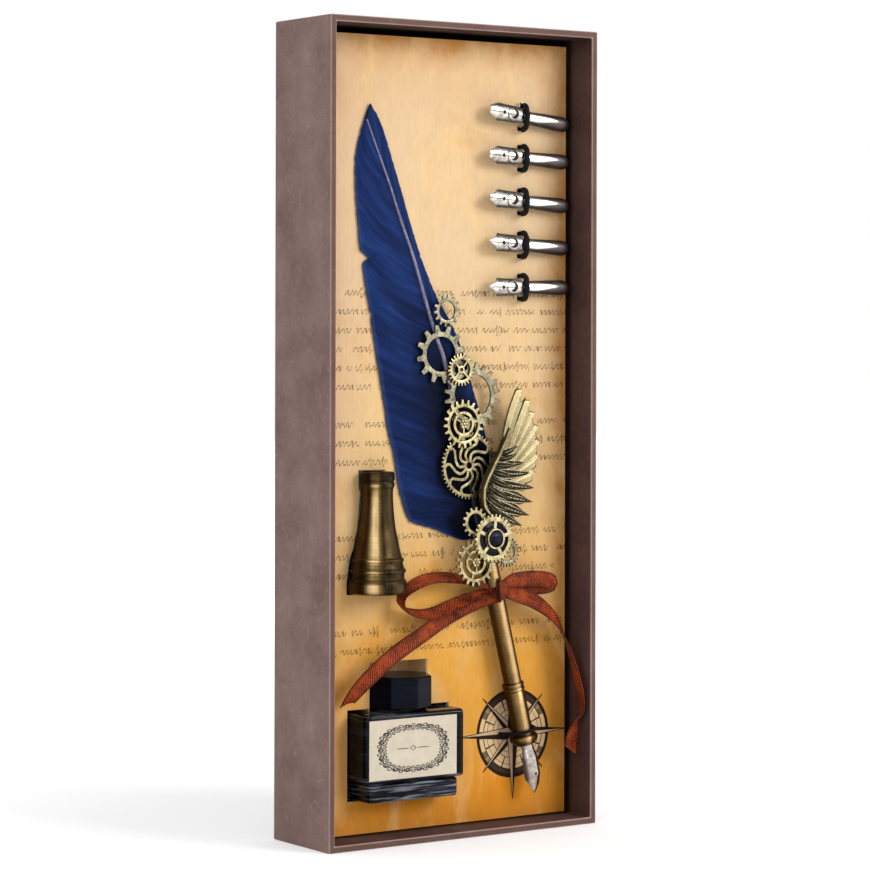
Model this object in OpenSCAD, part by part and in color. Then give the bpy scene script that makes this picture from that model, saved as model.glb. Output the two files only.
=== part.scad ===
// Calligraphy set box, standing on its foot wall with the open side facing -Y.
// X runs across the box, Z goes up from the base, Y runs from the open rim to the back.

/* [Tray] */
// Width of the tray over its paper wrap
box_w = 120; // [118:1:160]
// Depth of the tray from rim to back
box_d = 38; // [36:1:50]
// Height of the tray
box_h = 300; // [296:1:340]
// Thickness of the greyboard walls
board_t = 1.8; // [1.2:0.1:2.2]
// Thickness of the paper wrapped round the outside
wrap_t = 0.4; // [0.2:0.1:0.6]
// Thickness of the paper turned in over the inside of the walls
lining_t = 0.3; // [0.2:0.1:0.5]

/* [Insert] */
// Depth from the rim down to the printed sheet
recess = 16; // [15.5:0.1:17]
// Thickness of the printed sheet
sheet_t = 0.3; // [0.2:0.05:0.5]
// Thickness of the insert card
card_t = 1.5; // [1:0.1:2]
// Side clearance between insert and tray
insert_gap = 0.5; // [0.3:0.1:0.8]
// Clearance under the insert, where it sits on the foot wall
seat_gap = 0.3; // [0.2:0.05:0.5]
// Gap left above the insert at the head wall
head_gap = 2.3; // [1:0.1:4]
// Width of the spacer rails under the insert card
rail_w = 8; // [5:0.5:12]
// Clearance round what sits in the die-cut openings
cut_gap = 0.5; // [0.3:0.1:0.8]

/* [Ink bottle] */
// Width of the bottle
bottle_w = 44; // [38:1:46]
// Depth of the bottle
bottle_d = 24; // [22:1:27]
// Height of the glass body without its neck
bottle_h = 32; // [28:1:34]
// Height of the narrower foot of the bottle
foot_h = 6.4; // [4:0.2:9]
// How far the foot steps in at each side
foot_step_x = 2.2; // [1:0.1:3]
// How far the foot steps in at the front and the back
foot_step_y = 1; // [0.5:0.1:2]
// Corner radius of the bottle
bottle_r = 2.6; // [1.5:0.1:4]
// Thickness of the glass
glass_t = 2.4; // [1.6:0.1:3]
// Distance from the insert's left edge to the bottle
bottle_side = 15.4; // [13:0.2:17]
// Height of the bottle's foot above the base
bottle_z = 15.3; // [14:0.1:17]
// How far the bottle stands out of the printed sheet
bottle_out = 12; // [11:0.1:12.6]
// Outer radius of the bottle neck
neck_r = 8.4; // [7.5:0.1:9]
// Bore radius of the bottle neck
mouth_r = 6.2; // [5:0.1:6.6]
// Height of the bottle neck
neck_h = 9.4; // [8:0.1:10]
// How far the thread ridge stands out of the neck
thread_out = 0.6; // [0.3:0.1:0.8]
// Rise of the cap in one whole turn
thread_pitch = 3; // [2:0.1:4]
// Depth of ink above the inner floor
ink_depth = 18; // [10:1:22]
// Width of the label
label_w = 38.5; // [30:0.5:39]
// Height of the label
label_h = 21.8; // [16:0.2:22]
// Place of the label's middle, measured from the bottle's middle
label_x = -0.95; // [-1:0.05:0]
// Thickness of the label
label_t = 0.15; // [0.1:0.05:0.3]

/* [Bottle cap] */
// Width of the eight-sided cap across its flats
cap_flats = 23; // [21.5:0.1:24]
// Height of the cap
cap_h = 11.9; // [11.5:0.1:13]
// Thickness of the top of the cap
cap_top_t = 1.6; // [1.2:0.1:2]
// Gap between cap and bottle shoulder
cap_lift = 0.9; // [0.4:0.1:1.2]
// Radial clearance between cap bore and thread ridge
cap_gap = 0.15; // [0.1:0.05:0.4]
// Thickness of the sealing liner
liner_t = 1.0; // [0.6:0.1:1.1]

/* [Pen stand] */
// Place of the stand's axis across the box
stand_x = -31.6; // [-33:0.1:-31]
// Height of the stand's base above the box base
stand_z = 90.8; // [90:0.2:94]
// Height of the stand
stand_h = 44.4; // [42:0.2:46]
// Radius of the stand's base bead
stand_base_r = 11; // [10:0.1:11.2]
// Radius of the stand's neck where it is narrowest
stand_neck_r = 5.8; // [5.5:0.1:7]
// Radius of the stand's lip
stand_lip_r = 6.4; // [6:0.1:7.5]
// Bore radius that takes the pen point
socket_r = 3.8; // [3.6:0.1:4.2]
// Depth of the bore
socket_depth = 23; // [20:0.5:30]
// Distance of the stand's axis in front of the printed sheet
stand_out = 3.5; // [3:0.1:4]

/* [Quill pen] */
// Place of the pen point across the box
point_x = 38.6; // [37:0.2:40]
// Height of the pen point above the base
point_z = 12.6; // [12:0.2:16]
// Lean of the pen away from upright, in degrees
pen_lean = 13.9; // [13.5:0.1:14.3]
// Gap between the collar bead and the printed sheet
pen_rest_gap = 0.3; // [0.2:0.05:0.5]
// Radius of the barrel rod
barrel_r = 3.4; // [3.2:0.05:3.5]
// Radius of the ferrule tube
ferrule_r = 3.8; // [3.6:0.05:4]
// Wall of the ferrule tube
ferrule_wall = 0.4; // [0.3:0.05:0.45]
// Radius of the ring between ferrule and barrel
ring_r = 4.15; // [3.9:0.05:4.4]
// Radius of the collar bead above the pen point
collar_r = 5.4; // [5:0.05:5.6]
// Distance from the point to the lower edge of the collar
collar_s = 19; // [18.5:0.1:19.5]
// Distance from the point to the top of the ferrule
ferrule_top = 39.9; // [38:0.1:41]
// Length of the ring
ring_len = 3.4; // [2.5:0.1:4]
// Distance from the point to the top of the barrel
barrel_top = 96.2; // [95:0.1:98]
// Length of the tenon that joins ferrule and barrel
tenon_len = 8; // [5:0.5:12]
// Radius of the tenon
tenon_r = 2.2; // [1.8:0.05:2.4]
// Length of the pen point's tang inside the ferrule
tang_len = 7; // [6:0.2:7.2]
// Half width of the pen point at its shoulders
point_half_w = 3.5; // [3:0.05:3.55]
// Thickness of the pen point's steel
steel_t = 0.35; // [0.2:0.05:0.4]
// Radius of the quill where it enters the barrel
quill_r = 1.2; // [1:0.05:1.3]
// Depth of the hole that takes the quill
quill_socket = 9; // [6:0.5:12]
// Clearance of the quill in that hole
quill_gap = 0.15; // [0.1:0.05:0.3]
// Gap between the feather's tip and the head wall
feather_tip_gap = 27.8; // [24:0.2:40]
// Gap between the feather and the printed sheet
feather_gap = 0.4; // [0.3:0.05:0.6]
// Thickness of the feather's vanes
vane_t = 0.5; // [0.3:0.05:0.6]

/* [Gear charms] */
// Thickness of each gear charm
gear_t = 0.8; // [0.6:0.05:0.8]
// Radius of the dome of the black stone
gem_r = 3.1; // [2.8:0.1:3.3]
// Thickness of the wing charm's plate
wing_t = 1.2; // [0.8:0.1:1.4]
// Thickness of the wing's leading edge
wing_bar_t = 2.2; // [1.8:0.1:2.6]

/* [Ribbon] */
// Width of the ribbon
ribbon_w = 6; // [5:0.5:7]
// Thickness of the ribbon
ribbon_t = 0.6; // [0.4:0.1:0.6]

/* [Spare nibs] */
// Number of spare nibs in the row
nib_count = 5; // [5:1:5]
// Length of a spare nib with its shank
nib_len = 37.5; // [36:0.1:37.5]
// Radius of the curved plate of a spare nib
nib_r = 2.8; // [2.4:0.05:2.85]
// Radius of the shank at its rounded end
shank_r = 2.9; // [2.6:0.05:3]
// Radius of the shank at the nib's collar
shank_neck_r = 2.05; // [1.8:0.05:2.2]
// Distance of the shanks' ends from the insert's edge
nib_margin = 1.3; // [1:0.1:2]
// Radius of the elastic cord that holds them
elastic_r = 1; // [0.8:0.05:1.1]
// Distance of the elastic loops from the shanks' ends
loop_in = 20.7; // [20:0.1:21.5]
// Clearance of the loops round the thick end of a shank
loop_gap = 0.3; // [0.2:0.05:0.5]

/* [Hidden] */
$fn = 48;
eps = 0.01;

// Planes and edges that the pieces share
half_w = box_w / 2;
rim_y = -box_d / 2;
wall_t = wrap_t + board_t + lining_t;
inner_x = half_w - wall_t;
foot_z = wall_t;
head_z = box_h - wall_t;
panel_y = box_d / 2 - wrap_t - board_t;
sheet_y = rim_y + recess;
card_y = sheet_y + sheet_t;
rail_y = card_y + card_t;
insert_x = inner_x - insert_gap;
insert_z0 = foot_z + seat_gap;
insert_z1 = head_z - head_gap;

// Bottle places
bottle_x = bottle_side + bottle_w / 2 - insert_x;
bottle_front = sheet_y - bottle_out;
bottle_y = bottle_front + bottle_d / 2;
shoulder_z = bottle_z + bottle_h;
neck_top = shoulder_z + neck_h;
cap_z = shoulder_z + cap_lift;
cap_r = cap_flats / 2 / cos(22.5);
cap_bore_r = neck_r + thread_out + cap_gap;
cap_ceiling = cap_z + cap_h - cap_top_t;
cap_turns = 1.5;
cap_rise = thread_pitch * cap_turns;

// Stand outline, as radius and height above its foot
stand_y = sheet_y - stand_out;
stand_pts = [
    [stand_base_r - 0.9, 0], [stand_base_r - 0.2, 0.6], [stand_base_r, 2], [stand_base_r, 3.6],
    [stand_base_r - 0.5, 5.2], [stand_base_r - 0.8, 6], [stand_base_r - 0.9, 7.6],
    [stand_base_r - 0.4, 8], [stand_base_r - 0.5, 9], [stand_base_r - 1.1, 9.4],
    [stand_base_r - 1.5, 11.6], [stand_base_r - 1.1, 12], [stand_base_r - 1.2, 12.8],
    [stand_base_r - 1.9, 13.4], [stand_base_r - 2.6, 16.2], [stand_neck_r + 2, 19.6],
    [stand_neck_r + 1.1, 23.4], [stand_neck_r + 0.5, 28], [stand_neck_r + 0.1, 33],
    [stand_neck_r, stand_h - 7.4], [stand_neck_r + 0.2, stand_h - 6],
    [stand_lip_r - 0.1, stand_h - 5.4], [stand_lip_r, stand_h - 4.4],
    [stand_lip_r - 0.3, stand_h - 3.4], [stand_lip_r, stand_h - 3], [stand_lip_r, stand_h - 0.5],
    [stand_lip_r - 0.5, stand_h],
];

// Pen line: distances along it start at the point
pen_y = sheet_y - collar_r - pen_rest_gap;
vane_back = sheet_y - feather_gap;
vane_front = vane_back - vane_t;
barrel_front = pen_y - barrel_r;
ring_end = ferrule_top + ring_len;
function pen_at(s) = [point_x - s * sin(pen_lean), pen_y, point_z + s * cos(pen_lean)];
barrel_end = pen_at(barrel_top);

// Layers of the charms, counted forward from the feather and from the barrel
layer_a = vane_front - 2.05;
layer_b = layer_a - gear_t;
layer_c = layer_b - gear_t;
layer_p = barrel_front;
layer_q = layer_p - gear_t;
gem_front = layer_q - gear_t;

// The feather and the row of nibs reach up from here, further in a taller box
reach_z = 109.2;
reach = (head_z - feather_tip_gap - reach_z) / (269.7 - reach_z);
function reached(z) = reach_z + (z - reach_z) * reach;

// Spare nibs: height of the shank's end, and lean in degrees, from the top down
nib_y = sheet_y - shank_r - 0.2;
nib_end_x = insert_x - nib_margin;
nib_places = [[264.8, 7], [250.7, 3.4], [234, 4], [217.9, 3.4], [203, 0.2]];
tip_half_w = [1.8, 1.5, 1.15, 0.55, 0.5];
loop_r = shank_r + loop_gap + elastic_r;
loop_x = nib_end_x - loop_in;
function nib_z(i) = reached(nib_places[i][0]);
function loop_z(i) = nib_z(i) + loop_in * tan(nib_places[i][1]);
elastic_back = rail_y + elastic_r + 0.1;
tie_r = 0.6;
tie_span = 6.6;

// Feather outline points, in X and Z, from the tip down each side
wide_edge = [
    [-33.2, 269.7], [-36.5, 261.8], [-39.4, 251.6], [-39.6, 241], [-39, 231.2], [-37.4, 216],
    [-33.6, 213.2], [-36.6, 211], [-33.6, 196], [-30.4, 178], [-27.2, 161.3], [-25.4, 151],
    [-23, 142.9], [-20.8, 131.6], [-19.2, 124.9], [-16.4, 118], [-13, 115.4], [-5, 113.2],
    [2, 110.6], [8, 108.4], [13.6, 109],
];
narrow_edge = [
    [-33.2, 269.7], [-28.3, 262.3], [-23.5, 249.7], [-18.7, 236], [-13.9, 222.3], [-9.1, 210.5],
    [-3.6, 199.6], [4, 188], [7.9, 180.2], [12.5, 167], [15.6, 158], [18.5, 149.1], [20.6, 141.8],
    [20.8, 133], [19.6, 124], [17.2, 115], [15.4, 109.4],
];
quill_line = [
    [-35, 264], [-31.2, 254.8], [-25.2, 240.8], [-20.4, 228.1], [-14.4, 213.4], [-9, 197.6],
    [-4.1, 184.1], [-1.2, 177.3], [2.6, 164], [6.2, 150], [9.5, 136], [12.3, 124.5], [14.2, 115.5],
];
quill_tip_r = 0.3;

// Routes of the ribbon, as X, Y, Z and the turn of its width from straight forward
loop_left_pts = [
    [16, -9.6, 91.4, -35], [12.4, -8.8, 92.6, -35], [7.2, -8.5, 93.9, -35],
    [1.4, -8.4, 94.9, -35], [-4.8, -8.5, 95.4, -35], [-10.8, -8.6, 95, -33],
    [-15.6, -8.7, 93.6, -26], [-19.4, -8.7, 91.5, -12], [-22, -8.7, 89.2, 0],
    [-22.4, -8.7, 86.8, 6], [-20.6, -8.7, 84.6, 16], [-16.8, -8.8, 83, 26],
    [-12, -9, 82.3, 33], [-6, -9.2, 83, 35], [-1, -9.4, 84.6, 35], [4, -9.6, 86.2, 35],
    [9.5, -9.9, 87.8, 35], [13.2, -10, 88.7, 35], [16.4, -9.9, 89.3, 35],
];
tail_left_pts = [
    [18.6, -12.5, 87.5, 90], [16.2, -11.2, 86.9, 90], [13, -8.7, 85.8, 88],
    [9, -7.3, 84.2, 86], [3.6, -6.8, 82, 86], [-2, -7, 79.6, 88], [-8, -8.7, 77.3, 90],
    [-15, -10.9, 74.6, 92], [-21.3, -12.3, 72, 94], [-27, -13, 69.3, 95], [-32.4, -13.2, 66, 95],
    [-37.1, -13, 62.4, 92], [-40.9, -12.3, 58.9, 88], [-43.5, -11, 55.7, 84],
    [-44.9, -9.5, 52.9, 80], [-45.4, -8.2, 51, 78],
];
loop_right_pts = [
    [21.2, -12.4, 91.2, 84], [24, -12, 92.2, 84], [27.6, -11.8, 93, 86], [32.6, -11.7, 93.4, 88],
    [38, -11.4, 93.2, 90], [42.2, -10.9, 92.6, 90], [44.6, -10.3, 91.8, 90],
    [45.6, -9.6, 91.1, 90], [44.6, -8.9, 90.4, 90], [41, -8.6, 90, 90], [36, -8.7, 89.8, 90],
    [30.5, -8.9, 90, 90], [26.4, -9.1, 90.2, 90], [23.6, -9.4, 90.3, 90],
];
tail_right_pts = [
    [21.6, -13, 89.2, 92], [25.3, -13, 88.3, 92], [29.4, -12.8, 87.2, 90],
    [34.1, -12, 85.8, 84], [38.8, -10.8, 83.7, 74], [43.2, -9.9, 81.1, 62],
    [47, -9.8, 77.9, 52], [49.7, -10, 74.3, 42], [51.4, -10.6, 70.4, 32],
    [52.6, -11.4, 66.4, 24], [53.5, -12.3, 62.2, 18], [54.3, -13.2, 58, 14],
    [55, -14.1, 53.6, 12], [55.5, -14.9, 49.4, 12], [55.8, -15.2, 45.4, 12],
    [55.8, -15, 42.2, 18], [55.2, -14.5, 40, 36], [54.3, -13.9, 38, 56],
    [53.6, -13.4, 35.4, 72], [53.1, -13, 32.8, 80], [52.8, -12.8, 30.2, 82],
    [52.6, -12.7, 27.6, 84],
];
knot_pts = [
    [20.9, -13.1, 93, 90], [20.3, -13.9, 92, 90], [20.2, -14.3, 90.4, 90], [20.3, -14.3, 88.6, 90],
    [20.6, -13.9, 87, 90], [21, -13.1, 86, 90],
];
wrap_s = 78.6;
knot_x = 21.6;
knot_w = 5;
knot_t = 1.5;

// Colours of the materials
greyboard_c = [0.55, 0.5, 0.45];
paper_c = [0.42, 0.35, 0.34];
parchment_c = [0.9, 0.72, 0.48];
black_c = [0.05, 0.05, 0.06];
antique_c = [0.8, 0.75, 0.55];
brass_c = [0.55, 0.46, 0.26];
steel_c = [0.8, 0.8, 0.82];
feather_c = [0.08, 0.16, 0.42];
ribbon_c = [0.5, 0.2, 0.12];

function unit(v) = v / norm(v);
function at(p) = [p[0], p[1], p[2]];
function heading(p, i) = unit(at(p[min(i + 1, len(p) - 1)]) - at(p[max(i - 1, 0)]));
function forward(t) = unit([0, -1, 0] + t[1] * t);
function across(t, turn) = cos(turn) * forward(t) + sin(turn) * cross(t, forward(t));

// Eight points round a flat strip, or round a round rod
strip_ring = [for (k = [0:7]) let (a = 22.5 + 45 * k)
    [cos(a) / cos(22.5) / 2, sin(a) / cos(22.5) / 2]];

// A strip or rod swept along its route, closed at both ends, with faces turned outwards
module swept(rings) {
    n = len(rings);
    sides = len(rings[0]);
    points = [for (ring = rings) for (p = ring) p];
    side_faces = [for (i = [0:n - 2]) for (k = [0:sides - 1])
        let (a = i * sides + k, b = i * sides + (k + 1) % sides)
        each [[a, b + sides, b], [a, a + sides, b + sides]]];
    first_cap = [for (k = [1:sides - 2]) [0, k, k + 1]];
    last_cap = [for (k = [1:sides - 2]) [(n - 1) * sides, (n - 1) * sides + k + 1, (n - 1) * sides + k]];
    polyhedron(points = points, faces = concat(side_faces, first_cap, last_cap), convexity = 6);
}

function strip_rings(p, w, t) = [for (i = [0:len(p) - 1])
    let (h = heading(p, i), u = across(h, p[i][3]), v = cross(h, u))
    [for (q = strip_ring) at(p[i]) + q[0] * w * u + q[1] * t * v]];

module strip(p, w, t) {
    swept(strip_rings(p, w, t));
}

// A flat outline in X and Z, from its back plane forward by t
module plate(y, t) {
    translate([0, y, 0]) rotate([90, 0, 0]) linear_extrude(t) children();
}

module block(x0, x1, y0, y1, z0, z1) {
    translate([x0, y0, z0]) cube([x1 - x0, y1 - y0, z1 - z0]);
}

// Rectangle with round corners, centred
module round_rect(w, d, r) {
    square([w - 2 * r, d], center = true);
    square([w, d - 2 * r], center = true);
    for (sx = [-1, 1], sy = [-1, 1])
        translate([sx * (w / 2 - r), sy * (d / 2 - r)]) circle(r);
}

// Tray of greyboard walls with a paper wrap
module back_panel() {
    color(greyboard_c)
        block(wrap_t - half_w, half_w - wrap_t, panel_y, panel_y + board_t, wrap_t, box_h - wrap_t);
}

module side_wall(side) {
    x = half_w - wrap_t - board_t / 2;
    translate([side * x, 0, 0])
        block(-board_t / 2, board_t / 2, rim_y + wrap_t, panel_y, wrap_t, box_h - wrap_t);
}

module left_wall() { color(greyboard_c) side_wall(-1); }

module right_wall() { color(greyboard_c) side_wall(1); }

module end_wall(z) {
    x = half_w - wrap_t - board_t;
    block(-x, x, rim_y + wrap_t, panel_y, z, z + board_t);
}

module head_wall() { color(greyboard_c) end_wall(box_h - wrap_t - board_t); }

module foot_wall() { color(greyboard_c) end_wall(wrap_t); }

module wrap_paper() {
    board_x = half_w - wrap_t;
    lining_x = inner_x + lining_t;
    color(paper_c) difference() {
        block(-half_w, half_w, rim_y, -rim_y, wrap_t, box_h);
        block(-inner_x, inner_x, rim_y - 1, panel_y, foot_z, head_z);
        difference() {
            block(-board_x, board_x, rim_y + wrap_t, -rim_y - wrap_t, wrap_t - 1, box_h - wrap_t);
            block(-lining_x, lining_x, rim_y, panel_y, wrap_t + board_t, head_z + lining_t);
        }
    }
}

module foot_wrap() {
    color(paper_c) block(-half_w, half_w, rim_y, -rim_y, 0, wrap_t);
}

// Outlines that the insert leaves free, in X and Z
module bottle_cut() {
    w = bottle_w + 2 * cut_gap;
    translate([bottle_x - w / 2, bottle_z - cut_gap]) square([w, bottle_h + 3 * cut_gap]);
    translate([bottle_x - cap_r - cut_gap, bottle_z])
        square([2 * (cap_r + cut_gap), cap_z + cap_h + cap_rise + cut_gap - bottle_z]);
}

function chord(r) = sqrt(pow(r, 2) - pow(min(r, stand_out), 2)) + cut_gap;

module stand_cut() {
    bead = [0.1, 0.4];
    side = [for (p = [stand_pts[2], stand_pts[3], stand_pts[8] + bead, stand_pts[12] + bead,
        stand_pts[14], stand_pts[16], stand_pts[19]]) [chord(p[0]), p[1] + stand_z]];
    low = stand_z - cut_gap;
    high = stand_z + stand_h + cut_gap;
    lip = chord(stand_lip_r);
    outline = concat([[side[0][0], low]], side, [[lip, high - 7], [lip, high]]);
    translate([stand_x, 0])
        polygon(concat(outline, [for (i = [len(outline) - 1:-1:0]) [-outline[i][0], outline[i][1]]]));
}

function tie_hole(side) = pen_at(collar_s + 5.4) + side * [cos(pen_lean), 0, sin(pen_lean)] * tie_span;

module cord_holes() {
    for (i = [0:nib_count - 1], s = [-1, 1])
        translate([loop_x, loop_z(i) + s * loop_r]) circle(elastic_r + 0.05);
    for (s = [-1, 1])
        translate([tie_hole(s)[0], tie_hole(s)[2]]) circle(tie_r + 0.05);
}

module insert_outline() {
    difference() {
        translate([-insert_x, insert_z0]) square([2 * insert_x, insert_z1 - insert_z0]);
        bottle_cut();
        stand_cut();
        cord_holes();
    }
}

module insert_card() {
    color([0.75, 0.7, 0.6]) plate(rail_y, card_t) insert_outline();
}

module printed_sheet() {
    color(parchment_c) plate(card_y, sheet_t) insert_outline();
}

module insert_rails() {
    y1 = panel_y - seat_gap;
    color(greyboard_c) {
        for (s = [-1, 1])
            translate([s * (insert_x - rail_w / 2), 0, 0])
                block(-rail_w / 2, rail_w / 2, rail_y, y1, insert_z0, insert_z1);
        for (z = [insert_z0, insert_z1 - rail_w])
            block(rail_w - insert_x + 1, insert_x - rail_w - 1, rail_y, y1, z, z + rail_w);
    }
}

// Folded card behind the bottle that it rests on
module bottle_cradle() {
    y0 = bottle_front + bottle_d + cut_gap;
    y1 = panel_y - seat_gap;
    x1 = min(bottle_w / 2 + 6, bottle_w / 2 + bottle_side - rail_w - cut_gap);
    z0 = bottle_z - 2;
    z1 = shoulder_z - 2;
    color([0.75, 0.7, 0.6]) translate([bottle_x, 0, 0]) {
        block(-x1 + card_t, x1 - card_t, y0, y0 + card_t, z0, z1);
        for (s = [-1, 1])
            translate([s * (x1 - card_t / 2), 0, 0])
                block(-card_t / 2, card_t / 2, rail_y, y1, z0, z1);
    }
}

// Ink bottle
module bottle_shape(inset, z0, z1, step) {
    w = bottle_w - 2 * inset - 2 * step * foot_step_x;
    d = bottle_d - 2 * inset - 2 * step * foot_step_y;
    translate([bottle_x, bottle_y, z0])
        linear_extrude(z1 - z0) round_rect(w, d, max(bottle_r - inset, 0.4));
}

module bottle_cavity(z1) {
    bottle_shape(glass_t + 1, bottle_z + glass_t, z1, 1);
}

module bottle_glass() {
    groove = 0.8;
    color(black_c) difference() {
        union() {
            bottle_shape(0, bottle_z, bottle_z + foot_h, 1);
            bottle_shape(0.8, bottle_z + foot_h, bottle_z + foot_h + groove, 1);
            bottle_shape(0, bottle_z + foot_h + groove, shoulder_z, 0);
            translate([bottle_x, bottle_y, shoulder_z]) {
                cylinder(r = neck_r, h = neck_h);
                for (z = [3.4, 6.4])
                    translate([0, 0, z]) rotate([2.5, 0, 0])
                        cylinder(r = neck_r + thread_out - 0.05, h = 0.9, center = true);
                cylinder(r = neck_r + thread_out, h = 0.7);
            }
        }
        bottle_cavity(shoulder_z - glass_t);
        translate([bottle_x, bottle_y, shoulder_z - glass_t - 1])
            cylinder(r = mouth_r, h = neck_h + glass_t + 2);
    }
}

module bottle_ink() {
    color([0.05, 0.05, 0.15]) bottle_cavity(bottle_z + glass_t + ink_depth);
}

module bottle_label() {
    z = bottle_z + foot_h + 2;
    color([0.9, 0.86, 0.74]) translate([bottle_x + label_x, 0, 0])
        block(-label_w / 2, label_w / 2, bottle_front - label_t, bottle_front, z, z + label_h);
}

module bottle_cap() {
    chamfer = 0.5;
    color(black_c) translate([bottle_x, bottle_y, cap_z]) difference() {
        cylinder(r = cap_r, h = cap_h, $fn = 8);
        translate([0, 0, -1]) cylinder(r = cap_bore_r, h = cap_h - cap_top_t + 1);
        translate([0, 0, -eps]) cylinder(r = cap_bore_r + chamfer, h = chamfer);
    }
}

module cap_liner() {
    color([0.85, 0.85, 0.8]) translate([bottle_x, bottle_y, cap_ceiling - liner_t])
        cylinder(r = cap_bore_r - cap_gap, h = liner_t);
}

// Pen stand, turned from brass, with a bore for the pen point
module pen_stand() {
    color(brass_c) translate([stand_x, stand_y, stand_z]) difference() {
        rotate_extrude() polygon(concat([[0, 0]], stand_pts, [[0, stand_h]]));
        translate([0, 0, stand_h - socket_depth]) cylinder(r = socket_r, h = socket_depth + 1);
        translate([0, 0, -1]) cylinder(r = stand_base_r - 3.4, h = 2);
    }
}

// Feather: two vanes that meet under the quill
module vane(edge) {
    mid = concat([for (p = quill_line) p], [[14.8, 109.2]]);
    outline = concat(edge, [for (i = [len(mid) - 1:-1:0]) mid[i]]);
    color(feather_c) plate(vane_back, vane_t) polygon([for (p = outline) [p[0], reached(p[1])]]);
}

module feather_wide_vane() { vane(wide_edge); }

module feather_narrow_vane() { vane(narrow_edge); }

function quill_radius(i) = quill_tip_r + (quill_r - quill_tip_r) * min(1, i / 10);

module feather_quill() {
    last = len(quill_line) - 1;
    on_vane = [for (i = [0:last]) let (r = quill_radius(i), rise = i < last ? 0 : 0.8)
        [quill_line[i][0], vane_front - r - rise, reached(quill_line[i][1]), 0]];
    into_barrel = [for (s = [barrel_top + 0.6, barrel_top - 3, barrel_top - quill_socket + 0.5])
        concat(pen_at(s), [0])];
    line = concat(on_vane, into_barrel);
    rings = [for (i = [0:len(line) - 1])
        let (h = heading(line, i), u = across(h, 0), v = cross(h, u),
            r = i <= last ? quill_radius(i) : quill_r)
        [for (q = strip_ring) at(line[i]) + 2 * r * (q[0] * cos(22.5) * u + q[1] * cos(22.5) * v)]];
    color([0.5, 0.45, 0.5]) swept(rings);
}

// Pen parts are drawn along Z from the point up, then laid on the pen line
module on_pen() {
    translate([point_x, pen_y, point_z]) rotate([0, -pen_lean, 0]) children();
}

module rod(s0, s1, r) {
    translate([0, 0, s0]) cylinder(r = r, h = s1 - s0);
}

module pen_barrel() {
    color(brass_c) on_pen() difference() {
        rod(ring_end, barrel_top, barrel_r);
        rod(ring_end - 1, ferrule_top + tenon_len + 0.5, tenon_r + 0.05);
        rod(barrel_top - quill_socket, barrel_top + 1, quill_r + quill_gap);
    }
}

module pen_ring() {
    color(brass_c) on_pen() translate([0, 0, ferrule_top]) rotate_extrude() polygon([
        [tenon_r + 0.05, 0], [ring_r - 0.3, 0], [ring_r, 0.4], [ring_r, 1], [ring_r - 0.25, 1.4],
        [ring_r, 1.8], [ring_r, ring_len - 0.4], [ring_r - 0.4, ring_len], [tenon_r + 0.05, ring_len],
    ]);
}

ferrule_bore = ferrule_r - ferrule_wall;
tang_r = ferrule_bore - 0.08;
core_r = tang_r - steel_t - 0.08;

module pen_ferrule() {
    mouth = collar_s;
    color(brass_c) on_pen() {
        rotate_extrude() polygon([
            [ferrule_bore, mouth], [ferrule_bore + 0.3, mouth], [collar_r - 0.9, mouth + 0.9],
            [collar_r - 0.2, mouth + 1.7], [collar_r, mouth + 2.4], [collar_r - 0.3, mouth + 3.2],
            [ferrule_r + 0.3, mouth + 3.9], [ferrule_r, mouth + 4.6], [ferrule_r, ferrule_top],
            [tenon_r, ferrule_top], [tenon_r, ferrule_top + tenon_len], [0, ferrule_top + tenon_len],
            [0, mouth + 0.6], [core_r, mouth + 0.6], [core_r, mouth + tang_len + 1.2],
            [ferrule_bore, mouth + tang_len + 1.2],
        ]);
    }
}

// Flat outline of the pen point: half widths at distances from its tip
module pen_point() {
    shoulder = 7.6;
    belly_r = 4.3;
    belly_y = belly_r - tang_r;
    outline = [[0.15, 0], [1, 1.8], [2.3, 4.8], [point_half_w, shoulder], [point_half_w - 0.25, 13],
        [tang_r, collar_s - 0.4]];
    half = concat(outline, [for (i = [len(outline) - 1:-1:0]) [-outline[i][0], outline[i][1]]]);
    color(steel_c) on_pen() {
        difference() {
            intersection() {
                difference() {
                    translate([0, belly_y, 0]) rod(0, collar_s - 0.4, belly_r);
                    translate([0, belly_y, 0]) rod(-1, collar_s, belly_r - steel_t);
                }
                translate([0, 0, 0]) rotate([90, 0, 0]) linear_extrude(6) polygon(half);
            }
            translate([0, 0, 8.6]) rotate([90, 0, 0]) cylinder(r = 0.5, h = 10);
            translate([-0.07, -6, -1]) cube([0.14, 6, 9.6]);
        }
        difference() {
            rod(collar_s - 2.6, collar_s + tang_len, tang_r);
            rod(collar_s - 4, collar_s + tang_len + 1, tang_r - steel_t);
            translate([-5, 0.4, 0]) cube([10, 10, collar_s + tang_len + 1]);
        }
    }
}

// Charms: a toothed disc outline with straight flanks
function teeth_pts(tip, root, n, thin) = [for (i = [0:n - 1])
    let (a = 360 * i / n, w0 = 360 / n * 0.28, w1 = 360 / n * thin)
    each [root * [cos(a - w0), sin(a - w0)], tip * [cos(a - w1), sin(a - w1)],
        tip * [cos(a + w1), sin(a + w1)], root * [cos(a + w0), sin(a + w0)]]];

module ring_2d(r1, r0) {
    difference() {
        circle(r1);
        circle(r0);
    }
}

module toothed_ring(tip, root, n, hole, thin = 0.15) {
    difference() {
        polygon(teeth_pts(tip, root, n, thin));
        circle(hole);
    }
}

module spokes(n, r0, r1, w, turn = 0) {
    for (i = [0:n - 1])
        rotate(360 * i / n + turn) translate([r0, -w / 2]) square([r1 - r0, w]);
}

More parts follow.
